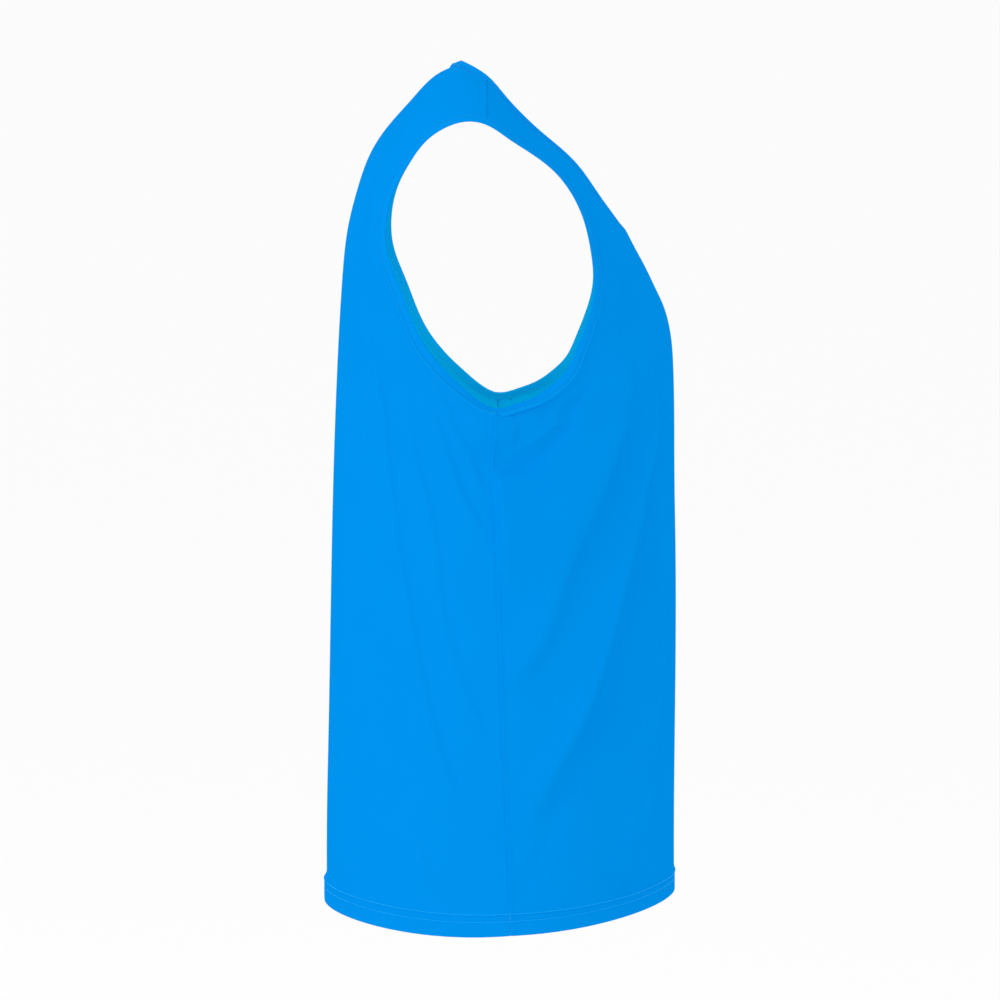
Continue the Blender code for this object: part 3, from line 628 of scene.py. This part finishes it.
# %% Rolls, ditches and hem
HEM_FLARE = {True: 0.0007, False: 0.0022}
HEM_FLARE_SIDE = 0.0009
HEM_STEP = {"below": 0.0008, "over": 0.0060}
ROLL_AT = 0.0014
ROLL_NEAR = 0.0008
ROLL_FAR = 0.0022
DITCH_WIDTH = 0.0009
Seam = namedtuple("Seam", "roll ditch")
SEAMS = {
    "side front": Seam(0.0011, 0.0),
    "side back": Seam(0.0001, 0.0),
    "armhole": Seam(0.0, 0.0003),
    "neck": Seam(0.0004, 0.0002),
    "shoulder front": Seam(0.0, 0.0007),
    "shoulder back": Seam(0.0009, 0.0),
}
Row = namedtuple("Row", "height lift")
RIDGES = [Row(0.0194, 0.0004), Row(0.0178, -0.0003), Row(0.0128, -0.0005)]
RIDGE_WIDTH = 0.0009
PUCKER_PITCH = 0.0125
PUCKER_HEIGHT = 0.0004
PUCKER_SLANT = 0.8
PUCKER_SWAY = {"by": 0.003, "over": 0.017}
PUCKER_BAND = {"middle": 0.011, "reach": 0.009}
PUCKER_SHARE = {"least": 0.35, "from": 0.10, "over": 0.08}
NECK_SEAM_ROWS = 0.6
SHOULDER_ROW_HEIGHT = 0.0205


def seam_form(distance, name):
    """Across a seam: a roll beside it, steep at the seam and gentle away from it, and a ditch at the seam itself."""
    seam = SEAMS[name]
    from_roll = distance - ROLL_AT
    roll = seam.roll * bell(from_roll / np.where(from_roll < 0.0, ROLL_NEAR, ROLL_FAR))
    return roll - seam.ditch * bell(distance / DITCH_WIDTH)


def hem_form(grid, rows, front):
    """The double hem's stand-off, a ridge at the upper stitch row over the cut edge inside, a groove at the
    lower one, and slanting puckers across the hem.
    """
    up = (rows * ROW_HEIGHT)[:, None]
    shares = grid.from_centre / grid.from_centre[:, -1:]
    flare = HEM_FLARE[front] * (1.0 - shares) + HEM_FLARE_SIDE * shares
    hem = 1.0 - smoothstep((up - HEM_DEPTH + HEM_STEP["below"]) / HEM_STEP["over"])
    ridges = sum(ridge.lift * bell((up - ridge.height) / RIDGE_WIDTH) for ridge in RIDGES)
    across = grid.aside + PUCKER_SLANT * up + PUCKER_SWAY["by"] * np.sin(grid.aside / PUCKER_SWAY["over"])
    pucker = np.sin(2.0 * math.pi * across / PUCKER_PITCH)
    pucker = pucker * bell((up - PUCKER_BAND["middle"]) / PUCKER_BAND["reach"])
    grown = smoothstep((grid.aside - PUCKER_SHARE["from"]) / PUCKER_SHARE["over"])
    strength = PUCKER_SHARE["least"] + (0.0 if front else 1.0 - PUCKER_SHARE["least"]) * grown
    return hem * flare + ridges + PUCKER_HEIGHT * strength * pucker


def sewn_form(grid, rows, front):
    """Every small form that sewing gives a half panel, as a lift outwards."""
    at_neck = smoothstep((rows - CENTRE_ROWS[front]) / NECK_SEAM_ROWS)[:, None]
    on_side = (rows <= SIDE_SEAM_ROWS)[:, None]
    from_shoulder = (ROWS - rows)[:, None] * SHOULDER_ROW_HEIGHT
    word = "front" if front else "back"
    lifted = hem_form(grid, rows, front) + at_neck * seam_form(grid.from_centre, "neck")
    beside = np.where(on_side, seam_form(grid.from_side, "side " + word), seam_form(grid.from_side, "armhole"))
    return lifted + beside + seam_form(from_shoulder, "shoulder " + word)


# %% Finished halves
CLOTH_WALL = 0.0011
finished = {}
for (front, side), grid in GRIDS.items():
    lift = folded(grid, front, side) + sewn_form(grid, PANEL_ROWS, front)
    points = grid.points + grid.facing * lift[..., None]
    points[PANEL_ROWS <= CENTRE_ROWS[front], 0, 0] = 0.0
    finished[front, side] = points
    print("front" if front else "back", "left" if side > 0 else "right", "lift up to %.1f mm" % (lift.max() * 1e3))

# %% [markdown]
# ## The turned-up hem
# The maker folds the lower edge inwards and stitches it down, so a viewer from below sees a rounded fold and a
# second layer. The outer surface is carried round the fold: half a circle as wide as two layers, then up the
# inside. A wall made by Solidify afterwards would have left a square edge instead.

# %% Carry the surface round the fold
FOLD_STEPS = 6
INNER_HEIGHTS = (HEM_DEPTH, 0.0192, 0.0150, 0.0100, 0.0060, 0.0030)


def at_row(points, rows, row):
    """The grid's points at rows between its own, by straight lines between them."""
    low = np.clip(np.searchsorted(rows, row, side="right") - 1, 0, len(rows) - 2)
    share = ((row - rows[low]) / (rows[low + 1] - rows[low]))[:, None, None]
    return points[low] * (1.0 - share) + points[low + 1] * share


def with_turned_hem(points, rows, front):
    """Rows for the inside of the hem and its fold, below the outer rows.

    Round the fold, at angle a, a point lies w cos a - w out from the outer surface and w - w sin a above the edge.
    """
    facing = surface_facing(points, rows, front)
    turn = np.linspace(math.pi, 0.0, FOLD_STEPS + 1)
    heights = np.concatenate([INNER_HEIGHTS, CLOTH_WALL * (1.0 - np.sin(turn))])
    inner_depths = np.full(len(INNER_HEIGHTS), -2.0 * CLOTH_WALL)
    depths = np.concatenate([inner_depths, CLOTH_WALL * (np.cos(turn) - 1.0)])
    under = at_row(points, rows, heights / ROW_HEIGHT)
    under = under + at_row(facing, rows, heights / ROW_HEIGHT) * depths[:, None, None]
    outer = rows > CLOTH_WALL / ROW_HEIGHT
    points, rows = np.concatenate([under, points[outer]]), np.concatenate([heights / ROW_HEIGHT, rows[outer]])
    return points, rows, np.arange(len(rows)) < len(heights)


# %% A piece from grids of points
def new_piece(name, vertices, quads, uvs):
    """A mesh object from arrays, with a UV map in metres of cloth."""
    used, renumbered = np.unique(quads, return_inverse=True)
    quads = renumbered.reshape(quads.shape)
    mesh = bpy.data.meshes.new(name)
    mesh.from_pydata(vertices[used].tolist(), [], quads.tolist())
    layer = mesh.uv_layers.new(name="cloth")
    layer.data.foreach_set("uv", uvs[used][quads.reshape(-1)].astype(np.float32).reshape(-1))
    mesh.shade_smooth()
    of_faces = np.zeros(len(mesh.loops), np.int64)
    mesh.loops.foreach_get("edge_index", of_faces)
    sharp = np.bincount(of_faces, minlength=len(mesh.edges)) == 1
    mesh.edges.foreach_set("use_edge_sharp", sharp)
    return put_in_scene(name, mesh)


def grid_quads(index):
    """Quads over a grid of vertex numbers, one for each cell."""
    cells = np.stack([index[:-1, :-1], index[:-1, 1:], index[1:, 1:], index[1:, :-1]], axis=-1)
    return cells.reshape(-1, 4)


def panel_piece(name, front):
    """Front or back: both halves joined along the centre line, given the cloth's wall inwards."""
    vertices, uvs, index = [], [], {}
    count = 0
    for side in (1, -1):
        points, rows, below_fold = with_turned_hem(finished[front, side], PANEL_ROWS, front)
        aside = at_row(GRIDS[front, side].aside[..., None], PANEL_ROWS, rows)[..., 0]
        vertices.append((points * [side, 1.0, 1.0]).reshape(-1, 3))
        uvs.append(np.stack([aside * side, points[..., 2]], axis=-1).reshape(-1, 2))
        index[side] = np.arange(aside.size).reshape(aside.shape) + count
        count += aside.size
    shared = rows <= CENTRE_ROWS[front]
    index[-1][shared, 0] = index[1][shared, 0]
    quads = [grid_quads(index[1]), grid_quads(index[-1])]
    quads[1 if front else 0] = quads[1 if front else 0][:, ::-1]
    piece = new_piece(name, np.concatenate(vertices), np.concatenate(quads), np.concatenate(uvs))
    wall = piece.modifiers.new("Wall", "SOLIDIFY")
    wall.thickness = CLOTH_WALL
    wall.offset = -1.0
    return piece


front_cloth = panel_piece("front_cloth", front=True)
back_cloth = panel_piece("back_cloth", front=False)
print("front", len(front_cloth.data.polygons), "back", len(back_cloth.data.polygons), "quads")

# %% [markdown]
# ## The bands
# Each opening is finished with a strip folded in half lengthwise. Its outer edge is the fold, so it is round;
# its inner edge is caught in the seam and swells a little beside it. A section of that shape is carried along
# the seam, which gives a closed ring with a true rounded edge.

# %% A band's section carried round an opening
BAND_WALL = 0.0016
BAND_CROWN = 0.0004
BAND_ROLL = 0.0007
BAND_ROLL_AT = 0.0012
BAND_ROLL_WIDTH = 0.0008
STITCH_LINE = 0.0029
STITCH_SINK = 0.0003
STITCH_SINK_WIDTH = 0.0006
BAND_TUCK = 0.0008
TOP_SHARES = np.concatenate([np.linspace(0.0, 0.42, 16), np.linspace(0.5, 1.0, 8)])
SECTION_ROUND = 0.024
JOIN_DEPTH = 0.0005
JOIN_WIDTH = 0.0009


def band_section(width):
    """Across and out for each point round the section: over the top, round the fold and back underneath.

    The top rises by crown * sin(pi s) with a roll by the seam and a groove under the stitches; the fold is half
    a circle.
    """
    turn = np.linspace(0.5 * math.pi, -0.5 * math.pi, 9)[1:-1]
    radius = BAND_WALL / 2
    across_top = -BAND_TUCK + (width - radius + BAND_TUCK) * TOP_SHARES
    out_top = BAND_CROWN * np.sin(math.pi * TOP_SHARES)
    out_top = out_top + BAND_ROLL * bell((across_top - BAND_ROLL_AT) / BAND_ROLL_WIDTH)
    out_top = out_top - STITCH_SINK * bell((across_top - STITCH_LINE) / STITCH_SINK_WIDTH)
    out_top = out_top - BAND_TUCK * (1.0 - smoothstep((across_top + BAND_TUCK) / BAND_TUCK))
    across = np.concatenate([across_top, width - radius + radius * np.cos(turn), across_top[::-1]])
    out = np.concatenate([out_top, -radius + radius * np.sin(turn), np.full(len(TOP_SHARES), -BAND_WALL)])
    return across, out


def band_points(seam, edge, facing, join=None):
    """The section at every station, from seam to edge and out along the facing, dented where join says."""
    sections = [band_section(width) for width in np.linalg.norm(edge - seam, axis=1)]
    across, out = (np.array(values) for values in zip(*sections))
    if join:
        out = out - join(across) * (out > -BAND_WALL / 2)
    return seam[:, None] + unit(edge - seam)[:, None] * across[..., None] + facing[:, None] * out[..., None]


def ring_piece(name, points, flip):
    """A closed ring: the last station joins the first, and the section closes on itself."""
    stations, around = points.shape[:2]
    index = np.arange(stations * around).reshape(stations, around)
    index = np.concatenate([index, index[:1]])
    index = np.concatenate([index, index[:, :1]], axis=1)
    quads = grid_quads(index)
    length = lengths(points.mean(axis=1))
    round_section = np.linspace(0.0, SECTION_ROUND, around)
    uvs = np.stack(np.broadcast_arrays(length[:, None], round_section[None, :]), axis=-1)
    return new_piece(name, points.reshape(-1, 3), quads[:, ::-1] if flip else quads, uvs.reshape(-1, 2))


# %% The armhole bands
ARM_STATIONS = 420
ARM_CROWD = 0.7
JOIN_SLANT = 0.55


def arm_band_points(side):
    """Points, seam facing and edge round one armhole, with the slanted join of the strip's ends underneath."""
    path = ARMHOLES[side]
    whole = path.distance[-1]
    steps = np.linspace(0.0, 1.0, ARM_STATIONS, endpoint=False)
    distance = whole * (steps - ARM_CROWD * np.sin(2.0 * math.pi * steps) / (2.0 * math.pi))
    found = along(path, distance)
    edge, facing, across = found[:, EDGE], unit(found[:, BAND_FACING]), unit(found[:, BAND_ACROSS])
    from_underarm = np.where(distance > whole / 2, distance - whole, distance)[:, None]

    def join(across_band):
        """The dent where the strip's ends meet, slanted across the band."""
        return JOIN_DEPTH * bell((from_underarm + JOIN_SLANT * (across_band - ARM_BAND_WIDTH / 2)) / JOIN_WIDTH)

    return band_points(edge - across * ARM_BAND_WIDTH, edge, facing, join), facing


arm_points, arm_facing = {}, {}
for side in (1, -1):
    arm_points[side], arm_facing[side] = arm_band_points(side)
arm_bands = {
    side: ring_piece("armhole_" + word, arm_points[side] * [side, 1.0, 1.0], flip=side > 0)
    for side, word in ((1, "left"), (-1, "right"))
}
print("armhole band", arm_points[1].shape)

# %% The neck band
NECK_STATIONS = {True: 150, False: 70}
NECK_CROWD = {True: 1.6, False: 1.0}
MITRE_WIDTH = 0.0010
MITRE_BEFORE = -0.05


def neck_half(front, side):
    """Seam, edge and facing from the centre to the shoulder, closer together at the centre."""
    share = np.linspace(0.0, 1.0, NECK_STATIONS[front]) ** NECK_CROWD[front]
    seam, edge = (neck_points(kind, share, front, side) for kind in ("seam", "edge"))
    facing = unit(np.cross(edge - seam, np.gradient(seam, share, axis=0))) * (-1.0 if front else 1.0)
    return seam, edge, facing


def neck_side(side):
    """The band's points on one side, from the centre front over the shoulder to the centre back."""
    seam, edge, facing = (
        np.concatenate([a, b[::-1][1:]]) for a, b in zip(neck_half(True, side), neck_half(False, side))
    )
    facing[0, 0] = facing[-1, 0] = 0.0
    facing = unit(facing)
    points = band_points(seam, edge, facing)
    mitre = JOIN_DEPTH * bell(points[..., :1] / MITRE_WIDTH) * (points[..., 1:2] < MITRE_BEFORE)
    return points - facing[:, None] * mitre


neck_all = np.concatenate([neck_side(1), (neck_side(-1) * [-1.0, 1.0, 1.0])[::-1][1:-1]])
neck_ring = ring_piece("neck_ring", neck_all, flip=True)
print("neck band", neck_all.shape)

# %% [markdown]
# ## Stitches
# The hem has two rows of coverstitch, 6.4 mm apart, and the neck seam has one row of topstitch. Each armhole
# band has one too, which shows on its outer and its inner face. At this size each stitch is a small raised
# grain of thread. They could be painted as bumps, but real grains catch the light on their own. Each is a
# small closed form of a few faces, repeated along its line.

# %% Rows of stitches
STITCH_PITCH = 0.0021
STITCH_LENGTH = 0.00180
STITCH_WIDTH = 0.00095
STITCH_HEIGHT = 0.00036
STITCH_AIM = 0.0006
STITCH_WANDER = 0.05
STITCH_SPREAD = 0.04
GRAIN_SIDES = 6
rng = np.random.default_rng(7)


def grain():
    """One stitch: three rings of points between two ends, with its faces. An end's faces name it twice."""
    here = np.arange(GRAIN_SIDES)
    following = (here + 1) % GRAIN_SIDES
    angle = here * 2.0 * math.pi / GRAIN_SIDES
    rings = [
        np.stack([0.0 * angle + math.cos(u), math.sin(u) * np.cos(angle), math.sin(u) * np.sin(angle)], axis=-1)
        for u in (0.25 * math.pi, 0.5 * math.pi, 0.75 * math.pi)
    ]
    points = np.concatenate([[[1.0, 0.0, 0.0]], *rings, [[-1.0, 0.0, 0.0]]])
    one, two, three = (1 + GRAIN_SIDES * k for k in range(3))
    pairs = (one, two), (two, three)
    sides = [np.stack([a + here, a + following, b + following, b + here], axis=1) for a, b in pairs]
    first, last = np.zeros_like(here), np.full_like(here, len(points) - 1)
    ends = [[first, first, one + following, one + here], [last, last, three + here, three + following]]
    return points, np.concatenate([np.stack(ends[0], axis=1), *sides, np.stack(ends[1], axis=1)])


def stitches(name, lines):
    """Grains along each line of points: centre + t * length + b * width + n * height."""
    base, faces = grain()
    vertices, polygons, count = [], [], 0
    for points, facing, closed in lines:
        if closed:
            points, facing = (np.concatenate([values, values[:1]]) for values in (points, facing))
        length = lengths(points)
        line = Path(length, points)
        number = int(length[-1] / STITCH_PITCH)
        where = (np.arange(number) + 0.5) * length[-1] / number
        centre = along(line, where)
        out = unit(along(Path(length, facing), where))
        run = unit(along(line, where + STITCH_AIM) - along(line, where - STITCH_AIM))
        beside = np.cross(out, run)
        run = unit(run + beside * rng.normal(0.0, STITCH_WANDER, (number, 1)))
        beside = np.cross(out, run)
        size = 1.0 + rng.normal(0.0, STITCH_SPREAD, (number, 1, 1))
        shape = (
            run[:, None] * base[None, :, :1] * STITCH_LENGTH / 2 * size
            + beside[:, None] * base[None, :, 1:2] * STITCH_WIDTH / 2
            + out[:, None] * base[None, :, 2:] * STITCH_HEIGHT
        )
        vertices.append((centre[:, None] + shape).reshape(-1, 3))
        polygons.append((faces[None] + (np.arange(number) * len(base))[:, None, None]).reshape(-1, 4) + count)
        count += number * len(base)
    vertices, polygons = np.concatenate(vertices), np.concatenate(polygons)
    triangle = polygons[:, 0] == polygons[:, 1]
    mesh = bpy.data.meshes.new(name)
    mesh.from_pydata(vertices.tolist(), [], [*polygons[~triangle].tolist(), *polygons[triangle][:, 1:].tolist()])
    mesh.shade_smooth()
    print(name, count // len(base), "stitches")
    return put_in_scene(name, mesh)


# %% Lines for the stitches
def panel_line(front, side, take):
    """A line on one finished half panel and the facing along it."""
    points = finished[front, side]
    facing = surface_facing(points, PANEL_ROWS, front)
    return take(points) * [side, 1.0, 1.0], take(facing) * [side, 1.0, 1.0]


def hem_line(height):
    """All the way round the hem at one height."""
    parts = []
    for front, side, forward in ((True, 1, True), (False, 1, False), (False, -1, True), (True, -1, False)):
        line = panel_line(front, side, lambda grid: at_row(grid, PANEL_ROWS, np.array([height / ROW_HEIGHT]))[0])
        parts.append([part if forward else part[::-1] for part in line])
    points, facing = (np.concatenate([part[k] for part in parts]) for k in (0, 1))
    return points, facing, True


NECK_TOPSTITCH = 0.0019


def neck_line(front, side):
    """Beside the neck seam, on the panel, from the centre to the shoulder."""
    rows = PANEL_ROWS > CENTRE_ROWS[front]
    col = int(np.argmin(np.abs(GRIDS[front, side].from_centre[rows][-1] - NECK_TOPSTITCH)))
    points, facing = panel_line(front, side, lambda grid: grid[rows][:, col])
    return points, facing, False


hem_stitches = stitches("hem_stitches", [hem_line(height) for height in STITCH_ROWS])
across_top = band_section(ARM_BAND_WIDTH)[0][: len(TOP_SHARES)]
arm_topstitch = int(np.argmin(np.abs(across_top - STITCH_LINE)))
arm_lines = [
    (arm_points[side][:, at] * [side, 1.0, 1.0], arm_facing[side] * [side * out, out, out], True)
    for side in (1, -1)
    for at, out in ((arm_topstitch, 1.0), (-1 - arm_topstitch, -1.0))
]
arm_stitches = stitches("armhole_stitches", arm_lines)
neck_stitches = stitches("neck_stitches", [neck_line(front, side) for front in (True, False) for side in (1, -1)])

# %% [markdown]
# ## The knit
# The cloth is a fine polyester interlock: closed, smooth and matt. Its loops, about 0.7 mm apart, are too fine
# to show at this distance. What shows is a slight unevenness, so the colour is nearly plain with a faint
# cloudiness. A very small bump on the UV map, which runs in metres of cloth, repeats every 4.4 mm one way and
# 3.8 mm the other. It is matched to the photograph and is six times coarser than the loops. A little
# sheen stands for the fibre ends that lighten the cloth's edges. On a band a paler blue is painted along the
# seam's ridge: a painted highlight for the light that the ridge catches.

# %% Knit material
BLUE = (0.0, 0.269, 0.782)
BLUE_DEEP = (0.0, 0.258, 0.760)
# Painted highlight: a paler blue painted along each band's seam ridge, for the light that the ridge catches.
RIDGE_HIGHLIGHT_BLUE = (0.0, 0.42, 0.95, 1.0)
KNIT_FINISH = {
    "Roughness": 0.85,
    "Specular IOR Level": 0.0,
    "Sheen Weight": 0.03,
    "Sheen Roughness": 0.5,
    "Sheen Tint": (0.0, 0.45, 1.0, 1.0),
}
CLOUD = {"Scale": 22.0, "Detail": 5.0}
# The wave texture turns through 20 radians in each unit, so a wave is 2 pi of these steps long
WAVE_STEP = {"X": 0.0007, "Y": 0.0006}
RADIANS_A_UNIT = 20.0
BUMP_DISTANCE = 0.0002
RIDGE_ROUND = 0.0031
RIDGE_REACH = 0.0009


def add_node(tree, kind, values=(), **settings):
    """A new shader node with these settings, and these values in its inputs."""
    made = tree.nodes.new("ShaderNode" + kind)
    for name, value in settings.items():
        setattr(made, name, value)
    set_inputs(made, dict(values))
    return made


def painted_highlight_share(tree, place, most):
    """How much painted highlight goes on the band: most on its ridge, fading to 0 at RIDGE_REACH from it.

    The ridge lies RIDGE_ROUND from the seam on both faces, at | |v - half| - (half - RIDGE_ROUND) | = 0.
    """
    split = add_node(tree, "SeparateXYZ")
    tree.links.new(place.outputs["UV"], split.inputs["Vector"])
    value = split.outputs["Y"]
    for take in (SECTION_ROUND / 2, SECTION_ROUND / 2 - RIDGE_ROUND):
        less = add_node(tree, "Math", {1: take}, operation="SUBTRACT")
        size = add_node(tree, "Math", operation="ABSOLUTE")
        tree.links.new(value, less.inputs[0])
        tree.links.new(less.outputs["Value"], size.inputs[0])
        value = size.outputs["Value"]
    limits = {"From Max": RIDGE_REACH, "To Min": most, "To Max": 0.0}
    fade = add_node(tree, "MapRange", limits, interpolation_type="SMOOTHSTEP")
    tree.links.new(value, fade.inputs["Value"])
    return fade.outputs["Result"]


def knit(name, bump_strength=0.25, tint=1.0, ridge=0.0):
    """Matt knit: cloudy blue from slow noise, unevenness from waves, and on a band a paler blue painted on the seam's
    ridge as a highlight, by ridge.
    """
    material = new_material(name, KNIT_FINISH)
    tree = material.node_tree
    link, shader = tree.links.new, tree.nodes["Principled BSDF"]
    place = add_node(tree, "TexCoord")
    cloud = add_node(tree, "TexNoise", CLOUD)
    deep, light = (tuple(v * tint for v in blue) + (1.0,) for blue in (BLUE_DEEP, BLUE))
    cloudy = add_node(tree, "Mix", {"A": deep, "B": light}, data_type="RGBA")
    link(place.outputs["Object"], cloud.inputs["Vector"])
    link(cloud.outputs["Fac"], cloudy.inputs["Factor"])
    colour = cloudy.outputs["Result"]
    # Painted highlight: the paler blue is mixed in along the band's seam ridge.
    if ridge:
        paler = add_node(tree, "Mix", {"B": RIDGE_HIGHLIGHT_BLUE}, data_type="RGBA")
        link(painted_highlight_share(tree, place, ridge), paler.inputs["Factor"])
        link(colour, paler.inputs["A"])
        colour = paler.outputs["Result"]
    link(colour, shader.inputs["Base Color"])
    uneven = add_node(tree, "Math", operation="MULTIPLY")
    for (way, step), factor in zip(WAVE_STEP.items(), uneven.inputs):
        form = {"Scale": 1.0 / (step * RADIANS_A_UNIT), "Distortion": 0.6, "Detail": 1.0}
        wave = add_node(tree, "TexWave", form, bands_direction=way)
        link(place.outputs["UV"], wave.inputs["Vector"])
        link(wave.outputs["Fac"], factor)
    bump = add_node(tree, "Bump", {"Strength": bump_strength, "Distance": BUMP_DISTANCE})
    link(uneven.outputs["Value"], bump.inputs["Height"])
    link(bump.outputs["Normal"], shader.inputs["Normal"])
    return material


# %% Thread material
def thread(name, tint=1.0):
    """Polyester sewing thread: a blue lighter than the cloth's, as a painted highlight for the thread's sheen, made
    lighter or darker by tint, and a little smoother.
    """
    material = new_material(name, {"Roughness": 0.6, "Specular IOR Level": 0.12})
    tree = material.node_tree
    place = add_node(tree, "TexCoord")
    twist = add_node(tree, "TexNoise", {"Scale": 900.0})
    # Painted highlight: these blues are lighter than the cloth's, standing in for the sheen of the thread.
    ends = {"A": (0.0, 0.375 * tint, 0.90 * tint, 1.0), "B": (0.005, 0.430 * tint, 0.95 * tint, 1.0)}
    mix = add_node(tree, "Mix", ends, data_type="RGBA")
    tree.links.new(place.outputs["Object"], twist.inputs["Vector"])
    tree.links.new(twist.outputs["Fac"], mix.inputs["Factor"])
    tree.links.new(mix.outputs["Result"], tree.nodes["Principled BSDF"].inputs["Base Color"])
    return material


panel_knit = knit("panel_knit")
# On the bands, ridge sets how strong the painted highlight on the seam ridge is.
band_knit = knit("band_knit", bump_strength=0.3, tint=1.02, ridge=0.45)
hem_thread_painted_sheen = thread("hem_thread_painted_sheen")
band_thread = thread("band_thread", tint=0.72)
for piece in (front_cloth, back_cloth):
    piece.data.materials.append(panel_knit)
for piece in (neck_ring, *arm_bands.values()):
    piece.data.materials.append(band_knit)
hem_stitches.data.materials.append(hem_thread_painted_sheen)
for piece in (arm_stitches, neck_stitches):
    piece.data.materials.append(band_thread)
print("materials:", [m.name for m in bpy.data.materials])

# %% [markdown]
# ## Joining the pieces to the imported part
# Each new piece stands for the plain solid of the same place, which is hidden, and rides on the part's root.

# %% Riding and replacing
STANDS_FOR = {
    front_cloth: "front_panel",
    back_cloth: "back_panel",
    neck_ring: "neck_band",
    arm_bands[1]: "armhole_band_left",
    arm_bands[-1]: "armhole_band_right",
}
for piece, node in STANDS_FOR.items():
    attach(piece, "root")
    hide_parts(node)
SEWN_ON = {hem_stitches: "front_panel", arm_stitches: "armhole_band_left", neck_stitches: "front_panel"}
for piece, node in SEWN_ON.items():
    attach(piece, "root")
